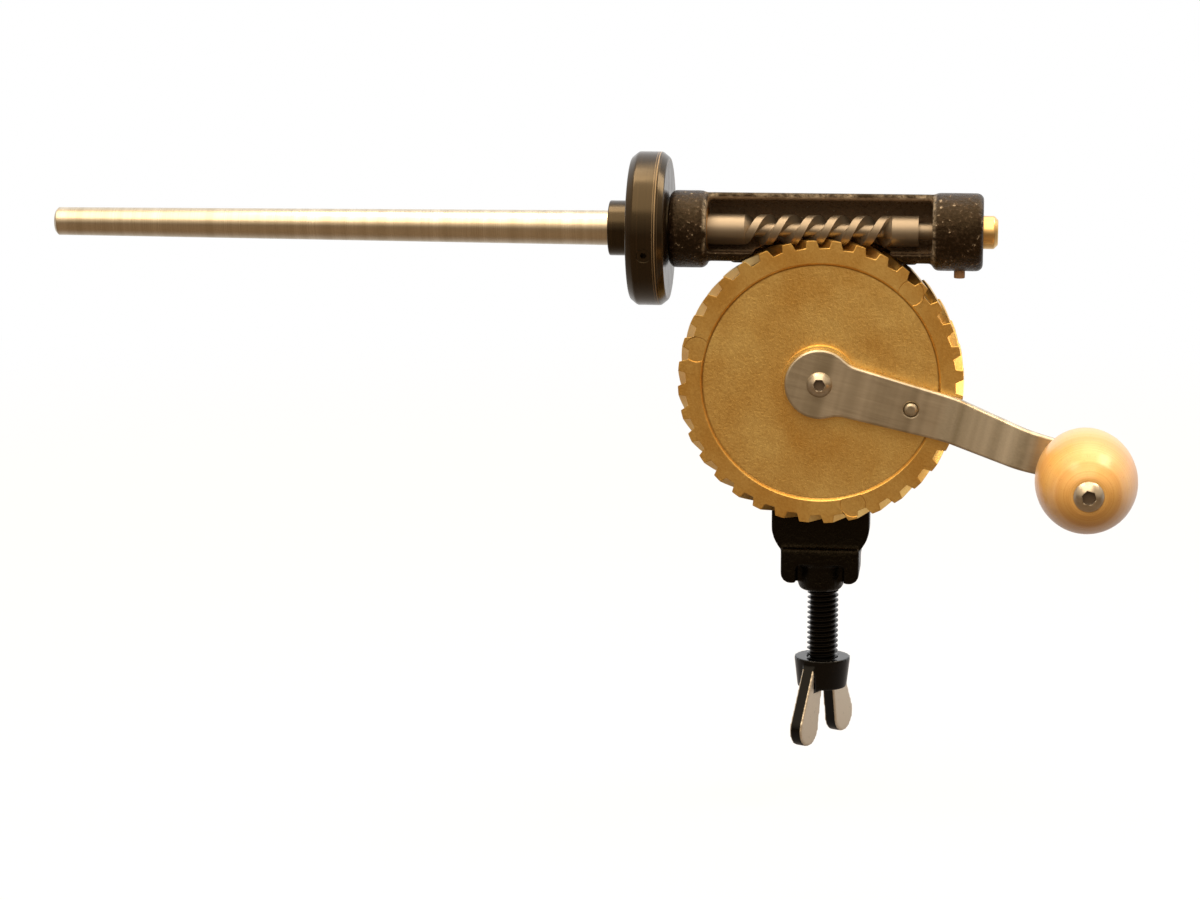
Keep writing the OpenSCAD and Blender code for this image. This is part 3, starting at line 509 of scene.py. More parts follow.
@dataclass(frozen=True)
class CastBrass:
    """Sand-cast yellow brass: a clouded, grainy face and a smoother machined rim, with a brown line of
    painted shade in the step between them.
    """

    name: str = "sand_cast_yellow_brass"
    brass: str = "#ffde8e"
    deep: str = "#e6b662"
    # Colour of the painted shade line in the step round the face.
    groove_shade: str = "#7a5423"
    grain: float = 0.7
    grit: float = 0.3
    grit_share: float = 0.6
    patch: float = 16.0
    skin_share: float = 0.35
    clouds: Span = (0.5, 1.0)
    rim_dark: float = 0.3
    face_r: float = 34.5
    rim_fade: float = 0.6
    groove_width: float = 0.4
    groove_dark: float = 0.8
    roughness: Span = (0.29, 0.5)
    relief: Span = (0.45, 0.25)
    relief_depth: float = 0.2

    def make(self) -> bpy.types.Material:
        """Make the material.

        Returns:
            The material.
        """
        m = Recipe(self.name, Metallic=1.0)
        radius = m.off_axis(Axis.Y, WHEEL_AXIS)
        rim = m.put("MapRange", (radius, self.face_r * MM, (self.face_r + self.rim_fade) * MM))
        grain = m.put("TexNoise", {"Vector": m.place, "Scale": per_mm(self.grain), "Detail": 4.0})
        grit = m.put("TexNoise", {"Vector": m.place, "Scale": per_mm(self.grit)})
        patch = m.put("TexNoise", {"Vector": m.place, "Scale": per_mm(self.patch)})
        skin = m.put("Math", (grit, self.grit_share, grain), operation="MULTIPLY_ADD")
        tone = m.put("Math", (skin, self.skin_share, patch), operation="MULTIPLY_ADD")
        cloudy = m.put("MapRange", (tone, *self.clouds))
        shade = m.put("Math", (rim, -self.rim_dark, cloudy), operation="MULTIPLY_ADD")
        body = m.put("Mix", {0: shade, 6: self.deep, 7: self.brass}, data_type="RGBA")
        # Painted shade: a brown line darkens the step between the face and the rim.
        off_line = m.put("Math", (radius, self.face_r * MM), operation="SUBTRACT")
        distance = m.put("Math", (off_line,), operation="ABSOLUTE")
        line = m.put("MapRange", (distance, 0.0, self.groove_width * MM, self.groove_dark, 0.0))
        colour = m.put("Mix", {0: line, 6: body, 7: self.groove_shade}, data_type="RGBA")
        dull = m.put("MapRange", (grain, *WHOLE, *self.roughness))
        rough = m.put("MapRange", (rim, *WHOLE, *self.relief))
        bump = m.put("Bump", {"Height": skin, "Strength": rough, "Distance": self.relief_depth * MM})
        m.feed(Base_Color=colour, Roughness=dull, Normal=bump)
        return m.material


@dataclass(frozen=True)
class TurnedBrass:
    """Turned brass: bright yellow, with lathe rings drawn coarser than they are so that they show."""

    name: str = "turned_brass"
    brass: str = "#f8d79a"
    line: str = "#e6bb74"
    ring: float = 0.4
    roughness: Span = (0.2, 0.36)

    def make(self) -> bpy.types.Material:
        """Make the material.

        Returns:
            The material.
        """
        m = Recipe(self.name, Metallic=1.0)
        radius = m.off_axis(Axis.X, WORM_AXIS)
        rings = m.put(
            "TexNoise", {"W": radius, "Scale": per_mm(self.ring), "Detail": 3.0}, noise_dimensions="1D"
        )
        colour = m.put("Mix", {0: rings, 6: self.line, 7: self.brass}, data_type="RGBA")
        dull = m.put("MapRange", (rings, *WHOLE, *self.roughness))
        m.feed(Base_Color=colour, Roughness=dull)
        return m.material


@dataclass(frozen=True)
class SatinSteel:
    """Tumbled stainless strip: satin grey with a faint grain and a few scratches, and soft bands across it
    that are painted reflections.
    """

    name: str = "tumbled_stainless_strip"
    steel: str = "#ded6c6"
    dark: str = "#a89f8d"
    grain: Span = (9.0, 0.5)
    grain_share: float = 0.2
    # Size of the painted reflection bands along the strip.
    reflection_band: float = 7.0
    tones: Span = (0.35, 0.85)
    scratch: Span = (9.0, 0.16)
    scratch_angle: float = 24.0
    scratches: Span = (0.68, 0.78)
    scratch_shine: float = 0.08
    roughness: Span = (0.32, 0.48)
    least_rough: float = 0.16
    relief: float = 0.06
    relief_depth: float = 0.03

    def make(self) -> bpy.types.Material:
        """Make the material.

        Returns:
            The material.
        """
        m = Recipe(self.name, Metallic=1.0)
        strip = m.put("Mapping", {"Vector": m.place, "Rotation": (0, -math.radians(CRANK_ANGLE), 0)})
        long, fine = (per_mm(size) for size in self.grain)
        rolled = m.put("Mapping", {"Vector": strip, "Scale": (long, fine, fine)})
        grain = m.put("TexNoise", {"Vector": rolled, "Scale": 1.0, "Detail": 3.0})
        long, fine = (per_mm(size) for size in self.scratch)
        lean = (0, math.radians(self.scratch_angle), 0)
        drawn = m.put("Mapping", {"Vector": strip, "Rotation": lean, "Scale": (long, fine, fine)})
        marks = m.put("TexNoise", {"Vector": drawn, "Scale": 1.0, "Detail": 1.0})
        scratch = m.put("MapRange", (marks, *self.scratches, 0.0, self.scratch_shine))
        # Painted reflections: soft bands across the strip, mixed with its grain.
        along = m.put("SeparateXYZ", (strip,)).outputs["X"]
        reflection_bands = m.put("TexNoise", {"W": along, "Scale": per_mm(self.reflection_band)}, noise_dimensions="1D")
        sheen = m.put("Math", (grain, self.grain_share, reflection_bands), operation="MULTIPLY_ADD")
        tone = m.put("MapRange", (sheen, *self.tones))
        body = m.put("Mix", {0: tone, 6: self.dark, 7: self.steel}, data_type="RGBA")
        dull = m.put("MapRange", (grain, *WHOLE, *self.roughness))
        soft = m.put("Math", (dull, scratch), operation="SUBTRACT")
        satin = m.put("Math", (soft, self.least_rough), operation="MAXIMUM")
        bump = m.put("Bump", {"Height": grain, "Strength": self.relief, "Distance": self.relief_depth * MM})
        m.feed(Base_Color=body, Roughness=satin, Normal=bump)
        return m.material


@dataclass(frozen=True)
class ScrewSteel:
    """Zinc-plated screw steel: bright and slightly clouded, with the socket painted dark as shade."""

    name: str = "zinc_plated_steel"
    light: str = "#d6cdbe"
    cloud: str = "#a89d8b"
    # Dark colour painted in the socket as shade.
    socket_shade: str = "#5f5347"
    size: float = 1.6
    axis: Span = (0.0, 0.0)
    socket_r: float = 0.0
    roughness: Span = (0.26, 0.46)

    def make(self) -> bpy.types.Material:
        """Make the material, with the socket round the screw's axis painted dark as shade, if it has one.

        Returns:
            The material.
        """
        m = Recipe(self.name)
        cloud = m.put("TexNoise", {"Vector": m.place, "Scale": per_mm(self.size), "Detail": 4.0})
        colour = m.put("Mix", {0: cloud, 6: self.cloud, 7: self.light}, data_type="RGBA")
        # Painted shade: inside the socket the colour turns dark and not metallic.
        radius = m.off_axis(Axis.Y, self.axis)
        inside = m.put("Math", (radius, self.socket_r * MM), operation="LESS_THAN")
        shaded_socket = m.put("Mix", {0: inside, 6: colour, 7: self.socket_shade}, data_type="RGBA")
        metal = m.put("Math", (1.0, inside), operation="SUBTRACT")
        dull = m.put("MapRange", (cloud, *WHOLE, *self.roughness))
        m.feed(Base_Color=shaded_socket, Metallic=metal, Roughness=dull)
        return m.material


@dataclass(frozen=True)
class RustedSteel:
    """Rusted screw steel: dull brown with an orange bloom and a pitted skin."""

    name: str = "rusted_steel"
    brown: str = "#a38a72"
    bloom: str = "#d2ab86"
    size: float = 0.7
    metallic: float = 0.3
    roughness: float = 0.75
    relief: float = 0.6
    relief_depth: float = 0.15

    def make(self) -> bpy.types.Material:
        """Make the material.

        Returns:
            The material.
        """
        m = Recipe(self.name, Metallic=self.metallic, Roughness=self.roughness)
        bloom = m.put("TexNoise", {"Vector": m.place, "Scale": per_mm(self.size), "Detail": 5.0})
        colour = m.put("Mix", {0: bloom, 6: self.brown, 7: self.bloom}, data_type="RGBA")
        bump = m.put("Bump", {"Height": bloom, "Strength": self.relief, "Distance": self.relief_depth * MM})
        m.feed(Base_Color=colour, Normal=bump)
        return m.material


@dataclass(frozen=True)
class SinteredBronze:
    """Oil-filled sintered bronze: dull brown-yellow with dark pores."""

    name: str = "sintered_bronze"
    bronze: str = "#a67b43"
    pore: str = "#4f3819"
    size: float = 0.5
    pore_reach: float = 0.35
    roughness: float = 0.42

    def make(self) -> bpy.types.Material:
        """Make the material.

        Returns:
            The material.
        """
        m = Recipe(self.name, Metallic=1.0, Roughness=self.roughness)
        pores = m.put("TexVoronoi", {"Vector": m.place, "Scale": per_mm(self.size)})
        wall = m.put("MapRange", (pores, 0.0, self.pore_reach))
        m.feed(Base_Color=m.put("Mix", {0: wall, 6: self.pore, 7: self.bronze}, data_type="RGBA"))
        return m.material


@dataclass(frozen=True)
class LacqueredBeech:
    """Turned beech under clear lacquer: warm yellow with growth rings, short flecks and lathe lines."""

    name: str = "lacquered_beech"
    pale: str = "#eabf76"
    ring_tone: str = "#dca65a"
    fleck: str = "#c98a45"
    gloss: float = 0.2
    roughness: float = 0.5
    lacquer_roughness: float = 0.28
    ring: float = 2.4
    lathe: float = 0.7
    lathe_share: float = 0.5
    late_wood: Span = (0.55, 0.95)
    fleck_size: Span = (0.35, 2.5)
    flecks: Span = (0.62, 0.74)
    fleck_dark: float = 0.45
    relief: float = 0.15
    relief_depth: float = 0.06

    def make(self) -> bpy.types.Material:
        """Make the material.

        Returns:
            The material.
        """
        m = Recipe(
            self.name,
            Coat_Weight=1.0,
            Coat_Roughness=self.lacquer_roughness,
            Roughness=self.roughness,
            Specular_IOR_Level=self.gloss,
        )
        radius = m.off_axis(Axis.Y, KNOB_AXIS)
        rings = m.put(
            "TexNoise", {"W": radius, "Scale": per_mm(self.ring), "Detail": 3.0}, noise_dimensions="1D"
        )
        along = m.put("SeparateXYZ", (m.place,)).outputs["Y"]
        way = m.put("Math", (radius, along), operation="ADD")
        lathe = m.put("TexNoise", {"W": way, "Scale": per_mm(self.lathe)}, noise_dimensions="1D")
        across, length = (per_mm(size) for size in self.fleck_size)
        stretched = m.put("Mapping", {"Vector": m.place, "Scale": (across, length, across)})
        flecks = m.put("TexNoise", {"Vector": stretched, "Scale": 1.0, "Detail": 1.0})
        spots = m.put("MapRange", (flecks, *self.flecks, 0.0, self.fleck_dark))
        tone = m.put("Math", (lathe, self.lathe_share, rings), operation="MULTIPLY_ADD")
        late = m.put("MapRange", (tone, *self.late_wood))
        wood = m.put("Mix", {0: late, 6: self.ring_tone, 7: self.pale}, data_type="RGBA")
        colour = m.put("Mix", {0: spots, 6: wood, 7: self.fleck}, data_type="RGBA")
        bump = m.put("Bump", {"Height": lathe, "Strength": self.relief, "Distance": self.relief_depth * MM})
        m.feed(Base_Color=colour, Normal=bump)
        return m.material


class Bench:
    """The hand work on a piece: copies, merged, softened, cast over or threaded."""

    @staticmethod
    def take(obj: bpy.types.Object) -> None:
        """Make a piece the only one selected, and active.

        Args:
            obj: The piece.
        """
        bpy.ops.object.select_all(action="DESELECT")
        obj.select_set(True)
        bpy.context.view_layer.objects.active = obj

    @staticmethod
    def apply(obj: bpy.types.Object, kind: str, **settings: object) -> None:
        """Add a modifier with its settings and apply it.

        Args:
            obj: The piece.
            kind: The modifier's type.
            **settings: The modifier's settings.
        """
        Bench.take(obj)
        modifier = obj.modifiers.new(kind.lower(), kind)
        for name, value in settings.items():
            setattr(modifier, name, value)
        bpy.ops.object.modifier_apply(modifier=modifier.name)

    @staticmethod
    def copy_of(node: str, name: str) -> bpy.types.Object:
        """Copy a CAD node's mesh into a new piece, merged and with flat faces made whole.

        Args:
            node: The CAD node.
            name: The new piece's name.

        Returns:
            The new piece.
        """
        obj = bpy.data.objects.new(name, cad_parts[node].data.copy())
        bpy.context.scene.collection.objects.link(obj)
        obj.data.materials.clear()
        Bench.take(obj)
        bpy.ops.mesh.customdata_custom_splitnormals_clear()
        bpy.ops.object.mode_set(mode="EDIT")
        bpy.ops.mesh.select_all(action="SELECT")
        bpy.ops.mesh.remove_doubles(threshold=MERGE * MM)
        bpy.ops.mesh.dissolve_limited(angle_limit=math.radians(FLAT_ANGLE))
        bpy.ops.object.mode_set(mode="OBJECT")
        return obj

    @staticmethod
    def soften(obj: bpy.types.Object, width: float, segments: int) -> None:
        """Round the sharp edges, and shade smooth.

        Args:
            obj: The piece.
            width: Width of the rounding in millimetres.
            segments: Faces across the rounding.
        """
        Bench.apply(
            obj,
            "BEVEL",
            width=width * MM,
            segments=segments,
            limit_method="ANGLE",
            angle_limit=math.radians(EDGE_ANGLE),
            use_clamp_overlap=False,
        )
        Bench.smooth(obj, EDGE_ANGLE)
        Bench.apply(obj, "WEIGHTED_NORMAL", keep_sharp=True)

    @staticmethod
    def smooth(obj: bpy.types.Object, angle: float) -> None:
        """Shade a piece smooth, apart from edges sharper than an angle in degrees."""
        Bench.take(obj)
        bpy.ops.object.shade_smooth_by_angle(angle=math.radians(angle))

    @staticmethod
    def recast(obj: bpy.types.Object, voxel: float, rounds: int) -> None:
        """Give a piece the soft edges and filled corners of a casting.

        Args:
            obj: The piece.
            voxel: Size of the new mesh's cells in millimetres.
            rounds: How often the surface is eased.
        """
        Bench.apply(obj, "REMESH", mode="VOXEL", voxel_size=voxel * MM)
        Bench.apply(obj, "SMOOTH", factor=EASE, iterations=rounds)
        Bench.take(obj)
        bpy.ops.object.shade_smooth()

    @staticmethod
    def block(low: Place, high: Place) -> bpy.types.Object:
        """Make a block, with its object at the origin.

        Args:
            low: Its lowest corner in millimetres.
            high: Its highest corner in millimetres.

        Returns:
            The block.
        """
        bpy.ops.object.select_all(action="DESELECT")
        middle, span = (Vector(low) + Vector(high)) / 2, Vector(high) - Vector(low)
        bpy.ops.mesh.primitive_cube_add(size=1, location=middle * MM, scale=span * MM)
        bpy.ops.object.transform_apply(location=True, rotation=True, scale=True)
        return bpy.context.object

    @staticmethod
    def rod(middle: Place, length: float, radius: float, lean: float = 0.0) -> bpy.types.Object:
        """Make a round rod, with its object at the origin.

        Args:
            middle: The rod's middle in millimetres.
            length: Its length in millimetres.
            radius: Its radius in millimetres.
            lean: How far it leans from upright towards X, in radians.

        Returns:
            The rod.
        """
        bpy.ops.object.select_all(action="DESELECT")
        bpy.ops.mesh.primitive_cylinder_add(
            vertices=ROD_SIDES,
            radius=radius * MM,
            depth=length * MM,
            location=Vector(middle) * MM,
            rotation=(0, lean, 0),
        )
        bpy.ops.object.transform_apply(location=True, rotation=True, scale=True)
        return bpy.context.object

    @staticmethod
    def weld(obj: bpy.types.Object, others: Iterable[bpy.types.Object]) -> None:
        """Join other pieces into a piece.

        Args:
            obj: The piece.
            others: The pieces that become part of it.
        """
        Bench.take(obj)
        for other in others:
            other.select_set(True)
        bpy.ops.object.join()

    @staticmethod
    def line(name: str, points: list[Place]) -> bpy.types.Object:
        """Draw an open line by extruding one vertex from point to point.

        Args:
            name: The new piece's name.
            points: The points in millimetres.

        Returns:
            The new piece, with its object at the origin.
        """
        bpy.ops.object.select_all(action="DESELECT")
        bpy.ops.mesh.primitive_plane_add(size=MM, location=Vector(points[0]) * MM)
        obj = bpy.context.object
        obj.name = obj.data.name = name
        bpy.ops.object.transform_apply(location=True, rotation=True, scale=True)
        bpy.ops.object.mode_set(mode="EDIT")
        bpy.ops.mesh.select_all(action="SELECT")
        bpy.ops.mesh.merge(type="CENTER")
        for a, b in zip(points, points[1:]):
            step = (Vector(b) - Vector(a)) * MM
            bpy.ops.mesh.extrude_region_move(TRANSFORM_OT_translate={"value": step})
        bpy.ops.object.mode_set(mode="OBJECT")
        return obj


class Finishes:
    """The finishes, each made once."""

    def __init__(self) -> None:
        """Make every finish."""
        self.casting = PaintedCasting().make()
        self.gloss = GlossBlack().make()
        self.wing = WingPaintedReflection().make()
        self.turned = TurnedSteel().make()
        self.black = TurnedBlack().make()
        self.brass = CastBrass().make()
        self.plug = TurnedBrass().make()
        self.satin = SatinSteel().make()
        self.screw = ScrewSteel().make()
        self.hub_screw = ScrewSteel(name="zinc_plated_hub_screw", axis=WHEEL_AXIS, socket_r=1.65).make()
        self.knob_screw = ScrewSteel(name="zinc_plated_knob_screw", axis=KNOB_AXIS, socket_r=1.85).make()
        self.rust = RustedSteel().make()
        self.bronze = SinteredBronze().make()
        self.beech = LacqueredBeech().make()


def dress_node(node: str, finish: bpy.types.Material) -> None:
    """Give a CAD node that keeps its own mesh a finish.

    Args:
        node: The CAD node.
        finish: The material.
    """
    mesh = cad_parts[node].data
    mesh.materials.clear()
    mesh.materials.append(finish)
    log.info("node %s: %s", node, finish.name)


def hand_over(obj: bpy.types.Object, node: str, body: Body, slot: Slot, finish: bpy.types.Material) -> None:
    """Let a finished piece stand for a CAD node.

    Args:
        obj: The piece.
        node: The CAD node.
        body: The body that it rides on.
        slot: The record's material slot; not used.
        finish: The material.
    """
    obj.data.materials.clear()
    obj.data.materials.append(finish)
    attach(obj, body.value)
    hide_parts(node)
    log.info("piece %s for %s: %s", obj.name, node, finish.name)


def soft_copy(
    node: str,
    name: str,
    body: Body,
    slot: Slot,
    finish: bpy.types.Material,
    edge: float,
    segments: int = 3,
) -> None:
    """Let a copy of a CAD node with softened edges stand for it.

    Args:
        node: The CAD node.
        name: The copy's name.
        body: The body that it rides on.
        slot: The record's material slot.
        finish: The material.
        edge: Width of the rounding in millimetres.
        segments: Faces across the rounding.
    """
    obj = Bench.copy_of(node, name)
    Bench.soften(obj, edge, segments)
    hand_over(obj, node, body, slot, finish)


@dataclass
class Frame:
    """The cast frame with its bushes, end plug and set screw."""

    voxel: float = 0.6
    eased: int = 5
    plug_edge: float = 0.25
    lip_r: float = 1.2
    lip_up: float = 9.7
    lip_ends: Span = (-33.4, 31.9)
    gusset_in: float = 4.6
    gusset_out: float = 7.8
    gusset_depth: Span = (-20.5, -3.0)
    gusset_height: Span = (-52.2, -45.0)
    shoulder_in: float = 17.0
    shoulder_out: float = 27.5
    shoulder_depth: Span = (-22.3, -17.0)
    shoulder_height: Span = (43.4, 46.0)
    nose_r: float = 6.8
    nose_y: float = -16.3
    nose_back: float = -6.0
    nose_height: Span = (-55.4, -44.0)
    nose_eased: int = 30
    bushes: tuple[str, ...] = ("spindle_bush", "axle_bush_front", "axle_bush_rear")

    @staticmethod
    def pair(inner: float, outer: float, depth: Span, height: Span) -> list[bpy.types.Object]:
        """Make two blocks, one each side of the middle.

        Args:
            inner: Distance from the middle to each block's near side in millimetres.
            outer: Distance from the middle to each block's far side in millimetres.
            depth: Front and back of the blocks in millimetres.
            height: Bottom and top of the blocks in millimetres.

        Returns:
            The left block and the right block.
        """
        (front, back), (low, high) = depth, height
        sides = ((-outer, -inner), (inner, outer))
        return [Bench.block((left, front, low), (right, back, high)) for left, right in sides]

    def lip(self) -> bpy.types.Object:
        """Lay the bead along the trough's upper lip.

        Returns:
            The bead.
        """
        left, right = self.lip_ends
        middle = ((left + right) / 2, WORM_AXIS[0], WORM_AXIS[1] + self.lip_up)
        return Bench.rod(middle, right - left, self.lip_r, math.pi / 2)

    def nose(self) -> bpy.types.Object:
        """Bring the screw boss forward to the lower arm's front, round in front and below.

        Returns:
            The nose, a post with a block behind it.
        """
        low, high = self.nose_height
        post = Bench.rod((0.0, self.nose_y, (low + high) / 2), high - low, self.nose_r)
        middle = Bench.block((-self.nose_r, self.nose_y, low), (self.nose_r, self.nose_back, high))
        Bench.weld(post, (middle,))
        Bench.recast(post, self.voxel, self.nose_eased)
        return post

    def build(self, finishes: Finishes) -> None:
        """Make and dress the frame's pieces.

        Args:
            finishes: The finishes.
        """
        casting = Bench.copy_of("frame_casting", "cast_frame")
        lip = self.lip()
        gussets = self.pair(self.gusset_in, self.gusset_out, self.gusset_depth, self.gusset_height)
        shoulders = self.pair(self.shoulder_in, self.shoulder_out, self.shoulder_depth, self.shoulder_height)
        Bench.weld(casting, (lip, *gussets, *shoulders, self.nose()))
        Bench.recast(casting, self.voxel, self.eased)
        hand_over(casting, "frame_casting", Body.FRAME, Slot.CASTING, finishes.casting)
        soft_copy("end_bearing_plug", "brass_plug", Body.FRAME, Slot.BRASS, finishes.plug, self.plug_edge)
        soft_copy(
            "plug_set_screw", "rusty_set_screw", Body.FRAME, Slot.RUSTY_STEEL, finishes.rust, self.plug_edge
        )
        for bush in self.bushes:
            dress_node(bush, finishes.bronze)


@dataclass
class WheelGroup:
    """The worm wheel with its axle, washers and ring."""

    edge: float = 0.18
    edge_faces: int = 2
    plated: tuple[str, ...] = ("crank_axle", "wheel_washer", "axle_end_washer")

    def build(self, finishes: Finishes) -> None:
        """Make and dress the wheel's pieces.

        Args:
            finishes: The finishes.
        """
        soft_copy(
            "worm_wheel", "brass_wheel", Body.CRANK, Slot.BRASS, finishes.brass, self.edge, self.edge_faces
        )
        for node in self.plated:
            dress_node(node, finishes.screw)
        dress_node("axle_ring", finishes.black)


@dataclass
class Crank:
    """The crank strip with its screws, pin and knob."""

    strip_edge: float = 0.8
    pin_dome: float = 1.0
    dome_faces: int = 5
    head_edge: float = 0.2
    knob_edge: float = 0.6
    plated: tuple[str, ...] = ("knob_lock_nut", "knob_washer")

    def build(self, finishes: Finishes) -> None:
        """Make and dress the crank's pieces.

        Args:
            finishes: The finishes.
        """
        satin, bright = Slot.SATIN_STEEL, Slot.BRIGHT_STEEL
        soft_copy("crank_arm", "crank_strip", Body.CRANK, satin, finishes.satin, self.strip_edge)
        soft_copy(
            "drive_pin", "domed_pin", Body.CRANK, bright, finishes.satin, self.pin_dome, self.dome_faces
        )
        for node, name, finish in (
            ("hub_screw", "button_head_screw", finishes.hub_screw),
            ("knob_screw", "knob_socket_screw", finishes.knob_screw),
        ):
            soft_copy(node, name, Body.CRANK, bright, finish, self.head_edge)
        soft_copy("knob", "beech_knob", Body.KNOB, Slot.BEECH, finishes.beech, self.knob_edge)
        for node in self.plated:
            dress_node(node, finishes.screw)


@dataclass
class SpindleGroup:
    """The spindle with its worm, flange, set screw and washer."""

    flange_edge: float = 0.4
    worm_crease: float = 40.0
    blackened: tuple[str, ...] = ("flange_set_screw", "thrust_washer")

    def build(self, finishes: Finishes) -> None:
        """Make and dress the spindle's pieces.

        Args:
            finishes: The finishes.
        """
        spindle = Bench.copy_of("spindle", "turned_spindle")
        Bench.smooth(spindle, self.worm_crease)
        hand_over(spindle, "spindle", Body.SPINDLE, Slot.BRIGHT_STEEL, finishes.turned)
        black = Slot.BLACK_STEEL
        soft_copy("drive_flange", "black_flange", Body.SPINDLE, black, finishes.black, self.flange_edge)
        for node in self.blackened:
            dress_node(node, finishes.black)


@dataclass
class Clamp:
    """The clamp screw with a real thread, its wing head and its pad."""

    pitch: float = 1.5875
    crest_r: float = 4.75
    root_r: float = 3.89
    root_share: float = 1 / 4
    flank_share: float = 5 / 16
    low_z: float = -87.2
    high_z: float = -25.1
    spare_turns: int = 2
    steps: int = 48
    thread_crease: float = 28.0
    wing_voxel: float = 0.4
    wing_eased: int = 5
    pad_edge: float = 0.4

    def thread(self) -> bpy.types.Object:
        """Turn the thread: one pitch of its profile, swept up the screw and cut flat at both ends.

        Returns:
            The screw.
        """
        start = self.low_z - self.spare_turns * self.pitch
        root, flank = self.pitch * self.root_share, self.pitch * self.flank_share
        crest = self.pitch - root - 2 * flank
        heights = [0, root, root + flank, root + flank + crest, self.pitch]
        radii = [self.root_r, self.root_r, self.crest_r, self.crest_r, self.root_r]
        screw = Bench.line("threaded_clamp_screw", [(r, 0, start + h) for r, h in zip(radii, heights)])
        turns = math.ceil((self.high_z - self.low_z) / self.pitch) + 2 * self.spare_turns
        Bench.apply(
            screw,
            "SCREW",
            axis="Z",
            screw_offset=self.pitch * MM,
            iterations=turns,
            steps=self.steps,
            render_steps=self.steps,
            use_merge_vertices=True,
            merge_threshold=MERGE * MM,
        )
        Bench.take(screw)
        bpy.ops.object.mode_set(mode="EDIT")
        for z, outward in ((self.low_z, -1), (self.high_z, 1)):
            bpy.ops.mesh.select_all(action="SELECT")
            bpy.ops.mesh.remove_doubles(threshold=MERGE * MM)
            bpy.ops.mesh.bisect(
                plane_co=(0, 0, z * MM), plane_no=(0, 0, outward), use_fill=True, clear_outer=True
            )
        bpy.ops.mesh.select_all(action="SELECT")
        bpy.ops.mesh.normals_make_consistent(inside=False)
        bpy.ops.object.mode_set(mode="OBJECT")
        Bench.smooth(screw, self.thread_crease)
        return screw

    def build(self, finishes: Finishes) -> None:
        """Make and dress the clamp's pieces.

        Args:
            finishes: The finishes.
        """
        black = Slot.BLACK_STEEL
        hand_over(self.thread(), "clamp_screw", Body.SCREW, black, finishes.gloss)
        wing = Bench.copy_of("wing_head", "cast_wing_head")
        Bench.recast(wing, self.wing_voxel, self.wing_eased)
        hand_over(wing, "wing_head", Body.SCREW, black, finishes.wing)
        soft_copy("clamp_pad", "pressure_pad", Body.PAD, black, finishes.gloss, self.pad_edge)


@dataclass(frozen=True)
class Softbox:
    """A square soft lamp that hangs at a place and faces the object, with its power in watts."""

    place: Place
    size: float
    power: float


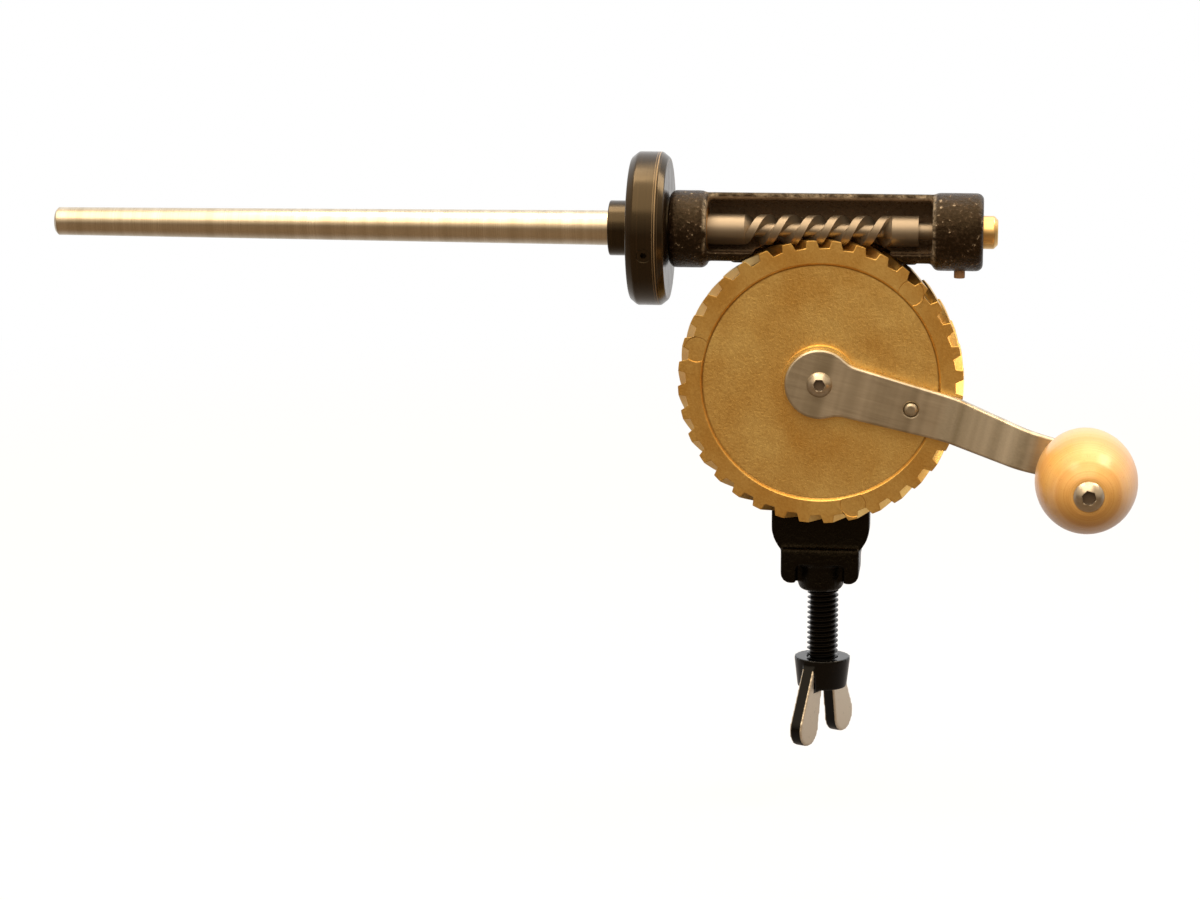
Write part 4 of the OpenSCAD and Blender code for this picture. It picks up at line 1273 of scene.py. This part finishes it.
@dataclass
class Studio:
    """The camera, the lamps, the white surroundings and the floor."""

    eye: Place = (45.587, -953.704, 150.661)
    tilt_down: float = 9.92
    turn: float = 6.84
    lens: float = 95.43
    sensor: float = 36.0
    clip: Span = (10.0, 100000.0)
    warm: str = "#ffe6c4"
    dim: str = "#6b5e4f"
    sky_above: Span = (-0.2, 0.55)
    sky_behind: Span = (0.1, 0.7)
    floor_z: float = -123.0
    floor_size: float = 9000.0
    floor_white: str = "#f0f3fc"
    floor_bounce: str = "#6a6158"
    floor_behind: Span = (-80.0, 250.0)
    floor_shine: Span = (0.0, 0.75)
    shadow_reach: Span = (350.0, 1100.0)
    shadow_fade: Span = (0.84, 1.0)
    lamps: tuple[Softbox, ...] = (
        Softbox((-120.0, -520.0, 900.0), 1100.0, 9.0),
        Softbox((200.0, 260.0, 950.0), 800.0, 4.0),
        Softbox((-140.0, -30.0, 340.0), 150.0, 0.45),
        Softbox((275.0, 60.0, 310.0), 150.0, 0.6),
    )

    def camera(self) -> None:
        """Set the camera where the photograph was taken from."""
        data = bpy.data.cameras.new("camera")
        data.sensor_width = self.sensor
        data.lens = self.lens
        data.clip_start, data.clip_end = (end * MM for end in self.clip)
        camera = bpy.data.objects.new("camera", data)
        camera.location = Vector(self.eye) * MM
        camera.rotation_euler = (math.radians(90 - self.tilt_down), 0, math.radians(self.turn))
        bpy.context.scene.collection.objects.link(camera)
        bpy.context.scene.camera = camera

    def light(self) -> None:
        """Hang the soft lamps over the object."""
        for number, box in enumerate(self.lamps):
            data = bpy.data.lights.new(f"softbox_{number}", "AREA")
            data.size = box.size * MM
            data.energy = box.power
            data.color = linear(self.warm)[:3]
            lamp = bpy.data.objects.new(data.name, data)
            lamp.location = Vector(box.place) * MM
            lamp.rotation_euler = (-lamp.location).to_track_quat("-Z", "Y").to_euler()
            bpy.context.scene.collection.objects.link(lamp)

    def surround(self) -> None:
        """Fill the world: white to the eye, bright above and behind, dim below and in front."""
        world = bpy.data.worlds.new("studio")
        bpy.context.scene.world = world
        world.use_nodes = True
        tree = world.node_tree
        tree.nodes.clear()
        way = put(tree, "TexCoord").outputs["Generated"]
        split = put(tree, "SeparateXYZ", (way,)).outputs
        above, behind = (
            put(tree, "MapRange", (split[side], *reach), interpolation_type="SMOOTHSTEP")
            for side, reach in (("Z", self.sky_above), ("Y", self.sky_behind))
        )
        bright = put(tree, "Math", (above, behind), operation="MAXIMUM")
        dome = put(tree, "Mix", {0: bright, 6: self.dim, 7: self.warm}, data_type="RGBA")
        path = put(tree, "LightPath").outputs
        back = put(tree, "Math", (path["Is Glossy Ray"], behind), operation="MULTIPLY")
        seen = put(tree, "Math", (path["Is Camera Ray"], path["Is Transmission Ray"]), operation="MAXIMUM")
        white = put(tree, "Math", (seen, back), operation="MAXIMUM")
        colour = put(tree, "Mix", {0: white, 6: dome, 7: WHITE}, data_type="RGBA")
        sky = put(tree, "Background", {"Color": colour, "Strength": 1.0})
        put(tree, "OutputWorld", {"Surface": sky})

    def floor(self) -> None:
        """Lay the pale floor: white to the eye, with the object's soft shadow, and white far away."""
        bpy.ops.object.select_all(action="DESELECT")
        bpy.ops.mesh.primitive_plane_add(size=self.floor_size * MM, location=(0, 0, self.floor_z * MM))
        floor = bpy.context.object
        floor.name = "floor"
        material = bpy.data.materials.new("pale_floor")
        material.use_nodes = True
        tree = material.node_tree
        tree.nodes.clear()
        place = put(tree, "TexCoord").outputs["Object"]
        reach = put(tree, "VectorMath", (place,), operation="LENGTH")
        depth = put(tree, "SeparateXYZ", (place,)).outputs["Y"]
        near, far = (edge * MM for edge in self.shadow_reach)
        plain = put(tree, "MapRange", (reach, near, far, *self.shadow_fade), interpolation_type="SMOOTHSTEP")
        front, back = (edge * MM for edge in self.floor_behind)
        behind = put(tree, "MapRange", (depth, front, back, *self.floor_shine))
        path = put(tree, "LightPath").outputs
        eye = put(tree, "Math", (path["Is Camera Ray"], path["Is Transmission Ray"]), operation="MAXIMUM")
        direct = put(tree, "Math", (eye, plain), operation="MULTIPLY")
        metal = put(tree, "Math", (path["Is Glossy Ray"], behind), operation="MULTIPLY")
        seen = put(tree, "Math", (direct, metal), operation="MAXIMUM")
        paint = put(tree, "Mix", {0: eye, 6: self.floor_bounce, 7: self.floor_white}, data_type="RGBA")
        matt = put(tree, "BsdfDiffuse", {"Color": paint})
        white = put(tree, "Emission", {"Color": WHITE, "Strength": 1.0})
        mix = put(tree, "MixShader", (seen, matt, white))
        put(tree, "OutputMaterial", {"Surface": mix})
        floor.data.materials.append(material)
        floor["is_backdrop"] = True

    def build(self) -> None:
        """Set up the whole studio."""
        bpy.context.scene.view_settings.view_transform = "Standard"
        self.camera()
        self.light()
        self.surround()
        self.floor()


def write_sizes() -> None:
    """Gather the CAD box and the dressed box as lists; nothing is kept or written."""
    boxes = {"cad": cad_box, "visual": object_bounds()}
    plain = {name: [list(corner) for corner in box] for name, box in boxes.items()}


def main() -> None:
    """Build the studio, then each sub-assembly in order."""
    logging.basicConfig(level=logging.INFO, format="%(name)s: %(message)s")
    Studio().build()
    finishes = Finishes()
    for group in (Frame(), WheelGroup(), Crank(), SpindleGroup(), Clamp()):
        group.build(finishes)
    write_sizes()


if __name__ == "__main__":
    main()
